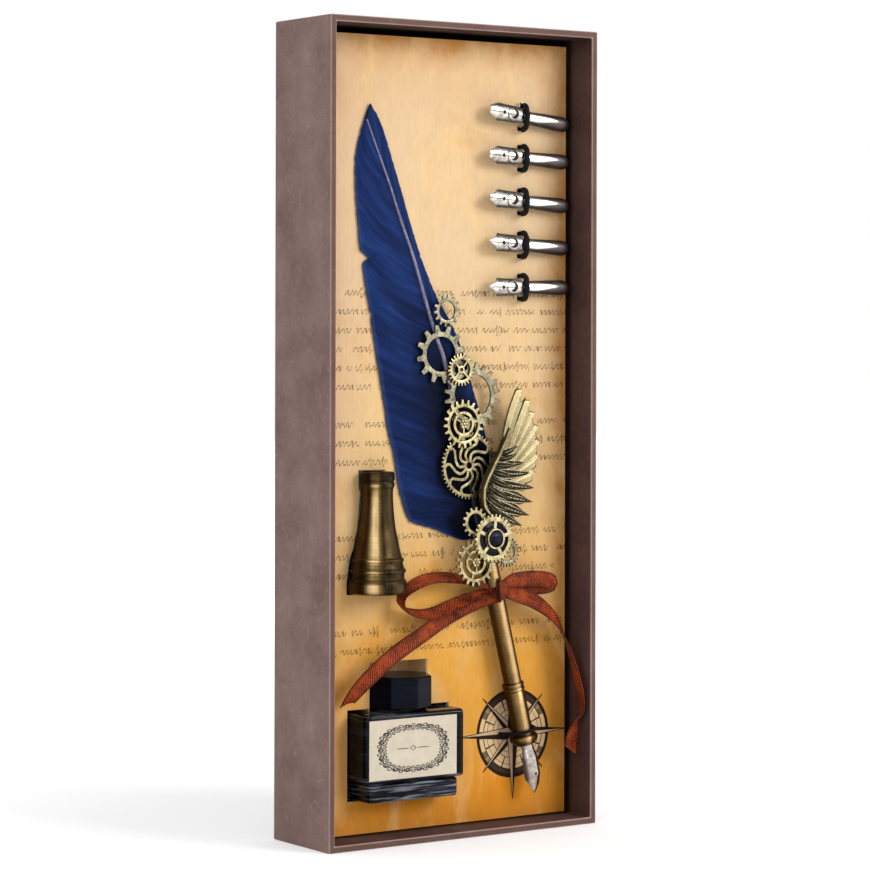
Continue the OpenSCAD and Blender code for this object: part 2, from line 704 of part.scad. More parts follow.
// A spoke that sweeps round in an S from hub to rim
module wavy_spokes(n, r0, r1, w) {
    steps = 8;
    function mid(k) = let (u = k / steps, r = r0 + (r1 - r0) * u, a = -34 * u + 15 * sin(360 * u))
        r * [cos(a), sin(a)];
    function side(k, s) = let (d = mid(min(k + 1, steps)) - mid(max(k - 1, 0)))
        mid(k) + s * w / 2 * [-d[1], d[0]] / norm(d);
    outline = concat([for (k = [0:steps]) side(k, -1)], [for (k = [steps:-1:0]) side(k, 1)]);
    for (i = [0:n - 1])
        rotate(360 * i / n) polygon(outline);
}

module charm(x, z, y, turn = 0) {
    color(antique_c) plate(y, gear_t) translate([x, z]) rotate(turn) children();
}

// Ring gear with four spokes and fine teeth
module fine_gear_2d(r) {
    toothed_ring(r, r - 1.2, 24, r - 2.3, 0.14);
    spokes(4, 1, r - 2.2, 0.7, 45);
    ring_2d(1.5, 0.7);
}

// Ring gear with an inner ring, three spokes and a flower centre
module flower_gear_2d(r) {
    toothed_ring(r, r - 1.7, 20, r - 2.8, 0.13);
    ring_2d(r - 4.4, r - 5.5);
    spokes(3, r - 4.6, r - 2.6, 0.9, 5);
    spokes(3, 1.2, r - 5.4, 0.7, 25);
    for (k = [0:4])
        rotate(72 * k) translate([1.05, 0]) circle(0.75, $fn = 24);
    circle(0.8, $fn = 24);
}

module gear_1() { charm(-1.2, 194.1, layer_b, 6) toothed_ring(6, 4.7, 14, 3.5); }

module gear_2() { charm(-3.4, 178, layer_a, 10) toothed_ring(10.9, 8.3, 12, 6.5, 0.13); }

module gear_3() { charm(4.7, 172.2, layer_c, 3) fine_gear_2d(6.2); }

module gear_4() { charm(10.4, 162.3, layer_b, 9) toothed_ring(12.8, 10.2, 20, 8.3, 0.13); }

module gear_5() { charm(5.9, 152, layer_c, 4) flower_gear_2d(9.1); }

module gear_6() {
    charm(8.9, 136.4, layer_b) {
        toothed_ring(12.6, 11.7, 48, 10.6, 0.1);
        wavy_spokes(10, 1.7, 11.1, 1.1);
        ring_2d(2.3, 1.2);
    }
}

module gear_7() { charm(8, 115.6, layer_p, 8) toothed_ring(5.7, 4.5, 14, 3.3); }

gem_gear_x = 16;
gem_gear_z = 109.3;

module gear_8() {
    charm(gem_gear_x, gem_gear_z, layer_q) {
        toothed_ring(9.1, 8.1, 30, 6.5, 0.2);
        spokes(5, 3, 6.7, 1.3, 12);
        ring_2d(3.9, 2.2);
    }
}

module gear_9() { charm(8.4, 100.7, layer_p, 9) flower_gear_2d(9); }

module gear_10() { charm(22.8, 103.9, layer_p) fine_gear_2d(5.6); }

module gem_bezel() {
    color(antique_c) plate(gem_front, 1.5) translate([gem_gear_x, gem_gear_z])
        ring_2d(3.9, gem_r + 0.05);
}

// Domed stone, a slice of a ball
module black_gem() {
    ball_r = 4;
    dome = ball_r - sqrt(pow(ball_r, 2) - pow(gem_r, 2));
    color(black_c) translate([gem_gear_x, gem_front, gem_gear_z]) {
        rotate([90, 0, 0]) cylinder(r = gem_r, h = 1);
        intersection() {
            translate([0, -1 - dome + ball_r, 0]) sphere(ball_r);
            translate([0, -1 + eps, 0]) rotate([90, 0, 0]) cylinder(r = gem_r, h = dome + 1);
        }
    }
}

// Wing charm: long smooth feathers above, short pointed ones below
module blade(a, b, w0, w1) {
    d = unit(b - a);
    n = [-d[1], d[0]];
    polygon([a - w0 * n / 2, a + (b - a) * 0.8 - w1 * n / 2, b, a + (b - a) * 0.72 + w1 * n / 2,
        a + w0 * n / 2]);
}

wing_back = layer_p + 2;
bar_pts = [[24.6, 148.6], [20.4, 141.2], [16.9, 135.6], [13.5, 129.4], [12.8, 126], [13.2, 121.6],
    [15.3, 118.6], [17.5, 116.6]];
bar_r = [0.5, 0.9, 1.15, 1.25, 1.3, 1.25, 1.15, 1];
long_feathers = [
    [[24.2, 146], [29.4, 165.6], 2.4, 3], [[24.2, 141], [33.1, 161.8], 4.4, 3.8],
    [[25.4, 138.4], [36, 154.8], 4.4, 4.2], [[26, 135.4], [37.8, 147.4], 4.4, 4.4],
    [[26, 132], [37.9, 139.8], 4.4, 4.2],
];
short_feathers = [
    [[19, 139.6], [28, 142], 3, 2.6], [[17.6, 137], [30.6, 137.6], 3.2, 3],
    [[16, 134], [33.2, 133.4], 3.6, 3.6], [[14.4, 130.6], [36, 127.8], 4, 4.2],
    [[13.6, 127], [35.3, 122.6], 4, 4.4], [[13.4, 123.6], [33.8, 117.6], 4, 4.4],
    [[14.6, 120.4], [30.4, 113.8], 3.8, 4],
];

module feathers_2d(list) {
    for (f = list)
        blade(f[0], f[1], f[2], f[3]);
}

module bar_2d() {
    for (i = [0:len(bar_pts) - 2])
        let (a = bar_pts[i], d = bar_pts[i + 1] - a, r = bar_r[i]) {
            translate(a) circle(r, $fn = 24);
            translate(a) rotate(atan2(d[1], d[0])) translate([0, -r]) square([norm(d), 2 * r]);
        }
}

module wing_charm() {
    color(antique_c) translate([-0.3, 0, 0]) {
        plate(wing_back, wing_t) {
            feathers_2d(long_feathers);
            feathers_2d(short_feathers);
            polygon([[22, 146], [13.6, 128], [13.6, 122], [17, 117], [26, 119], [31, 138], [29, 148]]);
        }
        plate(wing_back, wing_bar_t) bar_2d();
        plate(wing_back, wing_back - layer_q) translate(bar_pts[7]) circle(1.6);
    }
}

// Ribbon tied round the barrel
module ribbon_wrap() {
    inner = barrel_r + 0.02;
    h = 5.4;
    color(ribbon_c) on_pen() translate([0, 0, wrap_s - h / 2]) difference() {
        cylinder(r = inner + ribbon_t, h = h);
        translate([0, 0, -1]) cylinder(r = inner, h = h + 2);
    }
}

module ribbon_knot() { color(ribbon_c) strip(knot_pts, knot_w, knot_t); }

module ribbon_loop_left() { color(ribbon_c) strip(loop_left_pts, ribbon_w, ribbon_t); }

module ribbon_loop_right() { color(ribbon_c) strip(loop_right_pts, ribbon_w, ribbon_t); }

module ribbon_tail_left() { color(ribbon_c) strip(tail_left_pts, ribbon_w, ribbon_t); }

module ribbon_tail_right() {
    stretch = (insert_x - knot_x) / 35.4;
    route = [for (p = tail_right_pts) [knot_x + (p[0] - knot_x) * stretch, p[1], p[2], p[3]]];
    color(ribbon_c) strip(route, ribbon_w, ribbon_t);
}

// A round cord along a route that lies in one plane; side is that plane's normal
function cord_rings(p, r, side) = [for (i = [0:len(p) - 1])
    let (v = cross(heading(p, i), side))
    [for (k = [0:9]) p[i] + r * (cos(36 * k) * side + sin(36 * k) * v)]];

// Leg length and half arch in local coordinates: first across, then forward
function arch_path(half, r, back, foot, front, steps) = concat(
    [[-foot, back], [-foot, (back + front) / 2], [-half, front]],
    [for (k = [1:steps - 1]) let (a = 180 * k / steps) [-half * cos(a), front + r * sin(a)]],
    [[half, front], [foot, (back + front) / 2], [foot, back]]);

module pen_tie() {
    s = collar_s + 5.4;
    arch = ferrule_r + tie_r + 0.3;
    side = unit(pen_at(1) - pen_at(0));
    span = [cos(pen_lean), 0, sin(pen_lean)];
    bend = rail_y + 1.2 - pen_y;
    run = concat([[-tie_span + 3.4, -bend], [-tie_span + 0.8, -bend]],
        [[-tie_span + 0.2, -bend + 0.3], [-tie_span, -bend + 0.8], [-tie_span, pen_y - sheet_y + 0.4]],
        [for (k = [0:10]) let (a = 18 * k) [-arch * cos(a), arch * sin(a)]],
        [[tie_span, pen_y - sheet_y + 0.4], [tie_span, -bend + 0.8], [tie_span - 0.2, -bend + 0.3]],
        [[tie_span - 0.8, -bend], [tie_span - 3.4, -bend]]);
    color(black_c)
        swept(cord_rings([for (q = run) pen_at(s) + q[0] * span + [0, -q[1], 0]], tie_r, side));
}

// One elastic cord that loops over each spare nib and runs on behind the card
module nib_elastic() {
    back = elastic_back;
    corner = 0.8;
    loops = [for (i = [0:nib_count - 1]) let (z = loop_z(i))
        each concat(
            [[back, z + loop_r + corner], [back - 0.2 * corner, z + loop_r + 0.2 * corner]],
            [[back - corner, z + loop_r], [nib_y + 1, z + loop_r]],
            [for (k = [0:8]) let (a = 22.5 * k) [nib_y - loop_r * sin(a), z + loop_r * cos(a)]],
            i < nib_count - 1 ? [[nib_y + 1, z - loop_r], [back - corner, z - loop_r],
                [back - 0.2 * corner, z - loop_r - 0.2 * corner], [back, z - loop_r - corner]] :
                [[nib_y + 1, z - loop_r], [back, z - loop_r]])];
    color(black_c)
        swept(cord_rings([for (q = loops) [loop_x, q[0], q[1]]], elastic_r, [1, 0, 0]));
}

module elastic_crimp() {
    top = loop_z(0) + loop_r;
    color(steel_c) translate([loop_x, sheet_y, top]) rotate([90, 0, 0]) difference() {
        cylinder(r = elastic_r + 0.5, h = 2.2);
        translate([0, 0, -1]) cylinder(r = elastic_r + 0.02, h = 5);
    }
}

// Spare nibs lie along X with the shank's end on the right; distances run from that end
module on_nib(i) {
    translate([nib_end_x, nib_y, nib_z(i - 1)]) rotate([0, nib_places[i - 1][1], 0])
        mirror([1, 0, 0]) children();
}

shank_len = nib_len - 14.2;

module spare_shank(i) {
    color(steel_c) on_nib(i) rotate([0, 90, 0]) rotate_extrude() polygon([
        [0, 0], [0.9, 0], [1.2, 0.25], [1.3, 0.7], [2.1, 1.2], [2.6, 2], [shank_r, 3.4], [shank_r, 5.2],
        [shank_neck_r + 0.4, shank_len - 6], [shank_neck_r + 0.2, shank_len - 0.6],
        [shank_neck_r, shank_len], [1.4, shank_len], [1.4, shank_len - 5], [0, shank_len - 5],
    ]);
}

// The nib's plate curves round the shank's axis and carries a ridged collar
module spare_nib(i) {
    tip_w = tip_half_w[i - 1];
    shell = nib_r;
    tail = shank_len;
    outline = [[nib_len, tip_w], [nib_len - 1.7, tip_w + 0.3], [nib_len - 3.9, shell - 0.1],
        [tail + 2.8, shell - 0.2], [tail + 2.4, shell - 0.6]];
    color(steel_c) on_nib(i) {
        difference() {
            intersection() {
                rotate([0, 90, 0]) difference() {
                    rod(tail + 0.5, nib_len, shell);
                    rod(tail, nib_len + 1, shell - steel_t);
                }
                rotate([90, 0, 0]) linear_extrude(5) polygon(concat(outline,
                    [for (k = [len(outline) - 1:-1:0]) [outline[k][0], -outline[k][1]]]));
            }
            translate([nib_len - 6.4, 0, 0]) rotate([90, 0, 0]) cylinder(r = 0.45, h = 6);
            translate([nib_len - 6.4, -5, -0.06]) cube([8, 5, 0.12]);
        }
        rotate([0, 90, 0]) {
            difference() {
                rod(tail, tail + 2.6, shell);
                rod(tail - 1, tail + 4, 1.2);
            }
            rod(tail - 4.6, tail + 1, 1.3);
        }
    }
}

module spare_nib_1() { spare_nib(1); }

module spare_nib_2() { spare_nib(2); }

module spare_nib_3() { spare_nib(3); }

module spare_nib_4() { spare_nib(4); }

module spare_nib_5() { spare_nib(5); }

module spare_shank_1() { spare_shank(1); }

module spare_shank_2() { spare_shank(2); }

module spare_shank_3() { spare_shank(3); }

module spare_shank_4() { spare_shank(4); }

module spare_shank_5() { spare_shank(5); }

back_panel();
left_wall();
right_wall();
head_wall();
foot_wall();
wrap_paper();
foot_wrap();
insert_card();
insert_rails();
printed_sheet();
bottle_cradle();
nib_elastic();
elastic_crimp();
pen_tie();
bottle_glass();
bottle_ink();
bottle_label();
bottle_cap();
cap_liner();
pen_stand();
feather_wide_vane();
feather_narrow_vane();
feather_quill();
pen_barrel();
pen_ring();
pen_ferrule();
pen_point();
gear_1();
gear_2();
gear_3();
gear_4();
gear_5();
gear_6();
gear_7();
gear_8();
gear_9();
gear_10();
gem_bezel();
black_gem();
wing_charm();
ribbon_wrap();
ribbon_knot();
ribbon_loop_left();
ribbon_loop_right();
ribbon_tail_left();
ribbon_tail_right();
spare_nib_1();
spare_nib_2();
spare_nib_3();
spare_nib_4();
spare_nib_5();
spare_shank_1();
spare_shank_2();
spare_shank_3();
spare_shank_4();
spare_shank_5();
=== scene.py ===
import math

import bpy
from mathutils import Matrix, Vector, noise


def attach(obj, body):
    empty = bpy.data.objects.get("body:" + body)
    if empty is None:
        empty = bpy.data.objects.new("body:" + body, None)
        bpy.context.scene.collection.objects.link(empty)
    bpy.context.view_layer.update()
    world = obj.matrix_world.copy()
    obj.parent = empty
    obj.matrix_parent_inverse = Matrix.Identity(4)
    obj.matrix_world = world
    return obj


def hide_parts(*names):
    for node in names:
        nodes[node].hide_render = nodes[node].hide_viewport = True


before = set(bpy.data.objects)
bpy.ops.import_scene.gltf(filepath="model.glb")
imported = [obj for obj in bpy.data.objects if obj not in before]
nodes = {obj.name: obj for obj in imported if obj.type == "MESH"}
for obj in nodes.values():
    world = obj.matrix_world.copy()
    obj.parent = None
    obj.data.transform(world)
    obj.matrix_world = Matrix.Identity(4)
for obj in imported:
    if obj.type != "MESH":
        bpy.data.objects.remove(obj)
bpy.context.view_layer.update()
scene = bpy.context.scene

# camera and lamps
cameraPlace = {"at": (-0.64319, -0.92793, 0.19201), "yaw": 34.661, "roll": 0.139,
               "lens": 125.237, "sensor": 36, "shiftY": -0.13635, "near": 0.01}

bpy.ops.object.camera_add(location=cameraPlace["at"])
camera = scene.camera = bpy.context.object
camera.data.sensor_width = cameraPlace["sensor"]
camera.data.lens = cameraPlace["lens"]
camera.data.shift_y = cameraPlace["shiftY"]
camera.data.clip_start = cameraPlace["near"]
camera.rotation_euler = (Matrix.Rotation(-math.radians(cameraPlace["yaw"]), 3, "Z")
                         @ Matrix.Rotation(math.radians(90), 3, "X")
                         @ Matrix.Rotation(math.radians(cameraPlace["roll"]), 3, "Z")).to_euler()

lampAim = (0, 0, 0.15)
lamps = {
    "key": {"at": (0.72, -1.25, 0.78), "size": 0.75, "watts": 14.4},
    "fill": {"at": (-1.3, -1.1, 0.35), "size": 1.6, "watts": 9.5},
    "top": {"at": (-0.2, 0.3, 1.6), "size": 1.2, "watts": 6},
}
for name, lamp in lamps.items():
    bpy.ops.object.light_add(type="AREA", location=lamp["at"])
    light = bpy.context.object
    light.name = name + "Lamp"
    light.data.size = lamp["size"]
    light.data.energy = lamp["watts"]
    light.rotation_euler = (Vector(lampAim) - Vector(lamp["at"])).to_track_quat("-Z", "Y").to_euler()
print("camera and lamps ready")


# material helpers: newMaterial opens a material, and the others add nodes to the one that is open
def tone(red, green, blue):  # colour as seen on screen, 0 to 255
    def linear(level):
        level /= 255
        return level / 12.92 if level <= 0.04045 else ((level + 0.055) / 1.055) ** 2.4
    return (linear(red), linear(green), linear(blue), 1)


graph = {}  # the open material with its node tree and shader


class Flow:  # a node's output, so that patterns are written as sums
    def __init__(self, socket):
        self.socket = socket


signs = {"add": "ADD", "sub": "SUBTRACT", "mul": "MULTIPLY", "truediv": "DIVIDE", "pow": "POWER",
         "lt": "LESS_THAN", "gt": "GREATER_THAN", "abs": "ABSOLUTE"}
for sign, operation in signs.items():
    setattr(Flow, "__%s__" % sign, lambda self, *others, operation=operation: calc(operation, self, *others))
Flow.__rsub__ = lambda self, first: calc("SUBTRACT", first, self)


def link(value, socket):  # a number or another node's output goes in
    if isinstance(value, Flow):
        graph["tree"].links.new(value.socket, socket)
    else:
        socket.default_value = value


def wire(value, socket):
    link(value, graph["shader"].inputs[socket])


def newMaterial(name, **sockets):
    made = bpy.data.materials.new(name)
    made.use_nodes = True
    graph.update(material=made, tree=made.node_tree, shader=made.node_tree.nodes["Principled BSDF"])
    for socket, value in sockets.items():
        wire(value, socket.replace("_", " "))
    return made


def add(kind, inputs=None, **settings):
    made = graph["tree"].nodes.new("ShaderNode" + kind)
    for name, value in settings.items():
        setattr(made, name, value)
    for name, value in (inputs or {}).items():
        link(value, made.inputs[name])
    return made


def calc(operation, *values):
    return Flow(add("Math", dict(enumerate(values)), operation=operation).outputs[0])


def sine(value):
    return calc("SINE", value)


def cosine(value):
    return calc("COSINE", value)


def hypot(across, upward):
    return calc("SQRT", across * across + upward * upward)


def highest(first, *others):
    return calc("MAXIMUM", first, highest(*others)) if others else first


def blendColor(amount, first, second, how="MIX"):
    first, second = (tone(*color) if isinstance(color, tuple) else color for color in (first, second))
    return Flow(add("Mix", {0: amount, 6: first, 7: second}, data_type="RGBA", blend_type=how).outputs[2])


def ramp(value, *stops):  # each stop is a place and a level or a colour
    made = add("ValToRGB", {"Fac": value})
    band = made.color_ramp
    while len(band.elements) < len(stops):
        band.elements.new(0.5)
    for element, (at, color) in zip(band.elements, stops):
        element.position = at
        element.color = tone(*color) if isinstance(color, tuple) else (color, color, color, 1)
    return Flow(made.outputs["Color"])


def place(scale=(1, 1, 1), turn=(0, 0, 0), source="Object", shift=(0, 0, 0)):
    spots = Flow(add("TexCoord").outputs[source])
    return Flow(add("Mapping", {"Vector": spots, "Scale": scale, "Rotation": turn, "Location": shift}).outputs[0])


def cloud(vector, scale, detail=4.0, rough=0.55, distort=0.0):
    return Flow(add("TexNoise", {"Vector": vector, "Scale": scale, "Detail": detail,
                                 "Roughness": rough, "Distortion": distort}).outputs["Fac"])


def grid(across, upward):
    return Flow(add("CombineXYZ", {"X": across, "Y": upward}).outputs[0])


def axes(vector):
    return [Flow(output) for output in add("SeparateXYZ", {"Vector": vector}).outputs]


def ownUv():
    return axes(place(source="UV"))[:2]


def finished(color, height, distance, strength, rough=None):  # the open material with its colour and relief
    wire(color, "Base Color")
    if rough:
        wire(rough, "Roughness")
    wire(Flow(add("Bump", {"Height": height, "Distance": distance, "Strength": strength}).outputs[0]), "Normal")
    return graph["material"]


def seenDirectly():  # 1 for what the camera, gloss and glass see, 0 for light on the object
    seen = add("LightPath").outputs
    return highest(*(Flow(seen["Is %s Ray" % kind]) for kind in ("Camera", "Glossy", "Transmission")))


# materials
perMetre = 1000.0  # millimetres in a metre
frontLip = 0.019  # the tray's open rim stands this far in front of its middle


def paperWrap(name, dark, light, streak, lining=False):  # textured cover paper with a fine rubbed weave
    newMaterial(name, Roughness=0.7, Specular_IOR_Level=0.15)
    plain = place()
    blotch = cloud(plain, 55, 6, 0.62)
    fine = cloud(place((1, 1, 0.12)), 2600, 2) + cloud(place((0.12, 0.12, 1)), 2600, 2)
    crease = cloud(place((0.35, 1, 1)), 150, 5, 0.7, 1.2)
    base = ramp(blotch, (0.3, dark), (0.72, light))
    scuff = ramp(cloud(plain, 380, 5, 0.7), (0.56, 0.0), (0.7, 0.45))
    color = blendColor(scuff, base, streak)
    color = blendColor(0.7, color, ramp(fine, (0.75, 0.8), (1.2, 1.0)), "MULTIPLY")
    x, y, z = axes(plain)
    back = y + frontLip
    if lining:  # painted shade: darker deeper in and on the top inner wall, near black in the gap where the lining meets the board
        gapShadow = ramp((y + 0.0075) * 250.0, (0.0, 1.0), (0.45, 0.5), (0.62, 0.05))
        far = ramp(back * 62.0, (0.0, 1.0), (1.0, 0.7)) * ramp(z - 0.2, (0.09, 1.0), (0.096, 0.55))
        color = blendColor(1.0, color, blendColor(1.0, gapShadow, far, "MULTIPLY"), "MULTIPLY")
    else:  # darker front lip; its rounded edge is paler, part rubbed wear and part painted highlight
        back = back * perMetre
        color = blendColor(ramp(back, (0.02, 0.72), (0.12, 0.0)), color, (84, 58, 50))
        pale = ramp(back, (0.04, 0.0), (0.16, 0.5), (0.4, 0.3), (0.7, 0.0))
        color = blendColor(pale, color, (196, 170, 156))
    return finished(color, fine + crease * 5.0, 0.00004, 0.7, rough=ramp(blotch, (0.3, 0.78), (0.7, 0.6)))


dialFace = {"x": 32.5, "z": 34.5, "rim": 16.8, "band": (15.2, 1.6), "ticks": (11.4, 2.1),
            "circles": ((16.8, 0.22), (13.6, 0.2), (11.9, 0.1), (9.3, 0.14), (7.4, 0.1), (4.2, 0.12)),
            "stars": ((19.7, math.pi / 4), (25.0, 0.0)), "slim": 0.1,
            "cream": (224, 192, 146), "ink": (20, 17, 20), "light": (206, 176, 142)}


def dialPrint(x, z):  # plain compass dial: ring, circles, ticks and an eight-pointed star; sizes in millimetres
    across, upward = x * perMetre - dialFace["x"], z * perMetre - dialFace["z"]
    far = hypot(across, upward)
    turn = calc("ARCTAN2", upward, across)

    def near(value, middle, half):
        return abs(value - middle) < half

    def spike(reach, start):
        fold = calc("PINGPONG", turn + start, math.pi / 4)
        out = far * sine(fold)
        room = (reach - far * cosine(fold)) * dialFace["slim"]
        half = sine((turn + start) * 4.0) > 0.0
        return out < room, half, near(out, room, 0.16)

    ink = dialFace["ink"]
    lit = (cosine(turn * 12.0) * 0.5 + 0.5 > 0.72) * 0.8
    wide = ramp(cosine(turn * 2.0) * -0.5 + 0.5, (0.2, 0.0), (0.5, 0.96))
    tick = near(far, *dialFace["ticks"]) * (cosine(turn * 16.0) > 0.93)
    lines = highest(tick, *(near(far, *circle) for circle in dialFace["circles"]))
    color = blendColor(lines, dialFace["cream"], ink)
    color = blendColor(near(far, *dialFace["band"]) * highest(wide, far > 15.5, lit), color, ink)
    cover = far < dialFace["rim"]
    for reach, start in dialFace["stars"]:
        body, half, rim = spike(reach, start)
        color = blendColor(highest(body, rim), color, blendColor(highest(half, rim), dialFace["light"], ink))
        cover = highest(cover, highest(body, rim) * (far < reach))
    return color, cover


writing = {"row": 6.9, "rows": ((162.6, 204.0), (135.0, 155.7), (93.6, 114.3), (66.0, 79.8)), "lean": 0.3, "loops": 3.3}


def practiceStrokes(x, z):  # rows of slanted pen-practice loops that spell nothing
    along, up = x * perMetre, z * perMetre
    row = (up - writing["rows"][0][1]) / writing["row"]
    high = (calc("FRACT", row) - 0.5) * writing["row"]
    spots = grid(along * 0.42, calc("FLOOR", row) * 7.3)
    tall = ramp(cloud(spots, 1.3, 1), (0.5, 0.8), (0.6, 1.0), (0.66, 1.75))
    words = ramp(cloud(spots, 0.5, 1), (0.41, 0.0), (0.44, 1.0))
    phase = (along - high * writing["lean"]) * writing["loops"] + cloud(spots, 2.4, 1) * 7.0
    rise = sine(phase) * tall
    steep = cosine(phase) * tall * writing["loops"]
    off = abs(high - rise) / calc("SQRT", steep * steep + 1.0)
    bands = highest(*(abs(up - (low + top) / 2) < (top - low) / 2 for low, top in writing["rows"]))
    return ramp(off, (0.1, 1.0), (0.24, 0.0)) * bands * words


printedSheet = {"halfWidth": 0.057, "low": 0.0028, "high": 0.2952, "face": -0.0026, "tall": 0.3}


def parchmentPaint():  # printed sheet: pale in the middle, burnt gold at the rim and low down
    newMaterial("agedParchment", Roughness=0.6, Specular_IOR_Level=0.06)
    flat = place()
    x, y, z = axes(flat)
    low = z / printedSheet["tall"]
    drift = cloud(flat, 16, 5, 0.6, 0.4)
    wash = ramp(low + (drift - 0.5) * 0.5, (0.0, (224, 142, 34)), (0.2, (228, 164, 70)),
                (0.4, (226, 186, 128)), (0.75, (226, 195, 154)), (1.0, (222, 184, 138)))
    ends = calc("MINIMUM", z - printedSheet["low"], printedSheet["high"] - z)
    edge = calc("MINIMUM", printedSheet["halfWidth"] - abs(x), ends)
    ragged = edge + (cloud(flat, 60, 6, 0.65) - 0.5) * 0.022
    burn = ramp(ragged * 60.0, (0.0, 0.85), (0.3, 0.35), (0.8, 0.0))
    color = blendColor(burn, wash, (196, 128, 50))
    stain = ramp(cloud(flat, 34, 7, 0.68, 0.8), (0.55, 0.0), (0.75, 0.5))
    color = blendColor(stain, color, (210, 146, 66))
    pale = ramp(cloud(place((1.4, 1, 0.7), shift=(0.4, 0, 0.2)), 24, 6, 0.62, 1.1), (0.5, 0.0), (0.68, 0.5))
    color = blendColor(pale, color, (242, 205, 144))
    blush = ramp((x + drift * 0.03) * -22.0, (0.35, 0.0), (1.0, 0.6))
    color = blendColor(blush * ramp(low, (0.25, 0.2), (0.5, 1.0)), color, (222, 184, 154))
    color = blendColor(practiceStrokes(x, z) * 0.75, color, (72, 50, 32))
    dial, cover = dialPrint(x, z)
    color = blendColor(cover * (y < printedSheet["face"]) * 0.98, color, dial)
    fibre = cloud(place((1, 1, 0.25)), 900, 4, 0.6)
    color = blendColor(0.55, color, ramp(fibre, (0.3, 0.88), (0.6, 1.0)), "MULTIPLY")
    speck = ramp(cloud(flat, 420, 3, 0.8), (0.7, 0.0), (0.76, 0.5))
    color = blendColor(speck, color, (160, 104, 50))
    return finished(color, fibre, 0.00003, 0.5, rough=ramp(drift, (0.3, 0.48), (0.7, 0.6)))


def boardFibre(name, dark, light):
    newMaterial(name, Roughness=0.85)
    grain = cloud(place(), 700, 6, 0.7)
    return finished(ramp(grain, (0.35, dark), (0.65, light)), grain, 0.00008, 0.6)


def antiqueMetal(name, dark, mid, light, grime, polish):  # brass with dirt in its pits
    newMaterial(name, Metallic=1.0)
    plain = place()
    patch, fine = cloud(plain, 420, 7, 0.66, 0.3), cloud(plain, 3780, 3, 0.6)
    base = ramp(patch, (0.28, dark), (0.46, mid), (0.66, light))
    return finished(blendColor(0.6, base, ramp(fine, (0.35, 0.72), (0.55, 1.0)), "MULTIPLY"), patch + fine * 0.3,
                    0.00006, 0.5, rough=ramp(patch, (0.25, polish + grime * 0.5), (0.7, polish)))


def platedMetal(name, dark, light, rough):  # plated steel with faint rubbing marks
    newMaterial(name, Metallic=1.0)
    rub = cloud(place((0.15, 1, 1)), 1800, 3, 0.6)
    return finished(ramp(cloud(place(), 300, 4), (0.3, dark), (0.7, light)), rub, 0.00001, 0.3,
                    rough=ramp(rub, (0.3, rough), (0.75, rough + 0.12)))


def glossBlack(name, color, paintedGlint, rough, wave, gloss=0.09, foot=False):  # glass or resin, with pale painted reflection streaks
    newMaterial(name, Roughness=rough, Specular_IOR_Level=gloss)
    dust = ramp(cloud(place(), 1400, 3, 0.8), (0.7, 0.0), (0.8, 0.2))
    paintedStreaks = ramp(cloud(place((0.3, 0.3, 2.2)), 130, 3, 0.5, 0.6), (0.5, 0.0), (0.72, 0.75))
    paint = blendColor(paintedStreaks, color, paintedGlint)
    if foot:  # painted highlight lines on the thick glass low down
        lines = ramp(cloud(place((0.12, 0.12, 3.0)), 420, 4, 0.6, 0.5), (0.5, 0.0), (0.62, 0.6))
        low = ramp(axes(place())[2] * 20.0, (0.47, 1.0), (0.5, 0.04), (0.9, 0.0), (0.92, 0.4), (0.95, 0.4))
        paint = blendColor(lines * low, paint, (150, 154, 166))
    return finished(blendColor(dust, paint, (70, 70, 80)), cloud(place(), wave, 2), 0.0004, 0.25,
                    rough=ramp(dust, (0.0, rough), (0.3, rough + 0.12)))


wrapOuter = paperWrap("coverPaper", (124, 99, 93), (152, 126, 119), (170, 148, 142))
wrapInner = paperWrap("liningPaper", (72, 50, 47), (92, 67, 63), (106, 80, 76), True)
parchment = parchmentPaint()
greyboard = boardFibre("greyboard", (128, 120, 110), (156, 148, 138))
cardStock = boardFibre("whiteCard", (214, 206, 192), (236, 230, 218))
greyBrass = antiqueMetal("greyBrass", (54, 50, 42), (118, 112, 92), (166, 160, 134), 0.4, 0.34)
paleBrass = antiqueMetal("paleBrass", (62, 54, 36), (132, 120, 86), (186, 174, 134), 0.4, 0.32)
darkBrass = antiqueMetal("brassRecess", (14, 12, 10), (36, 31, 23), (78, 68, 46), 0.6, 0.4)
nickel = platedMetal("nickelPlate", (186, 184, 180), (232, 230, 226), 0.1)
bottleBlack = glossBlack("blackGlass", (6, 6, 10), (40, 43, 58), 0.06, 35, foot=True)
capBlack = glossBlack("blackResin", (7, 10, 20), (14, 19, 34), 0.16, 60, 0.05)
# painted light: the fold's colour is made paler than paper to stand in for the light that the recessed well does not
# get
foldPaper = boardFibre("foldPaper", (240, 196, 138), (250, 214, 162))
gemBlack = glossBlack("blackStone", (12, 13, 24), (52, 56, 84), 0.03, 20)
print("materials ready")


labelFrame = {"x": -21.3, "z": 34.6, "halfWidth": 13.6, "halfHeight": 7.6, "square": 2.7, "scrolls": 18,
              "curls": ((0.0, 1.05, 0.0, 0.2), (0.0, 0.5, 0.25, 0.24), (0.5, 0.55, 0.8, 0.19), (0.5, 0.4, -0.75, 0.18)),
              "line": 0.16}  # each curl: its step round the oval, radius, distance outwards and thickness


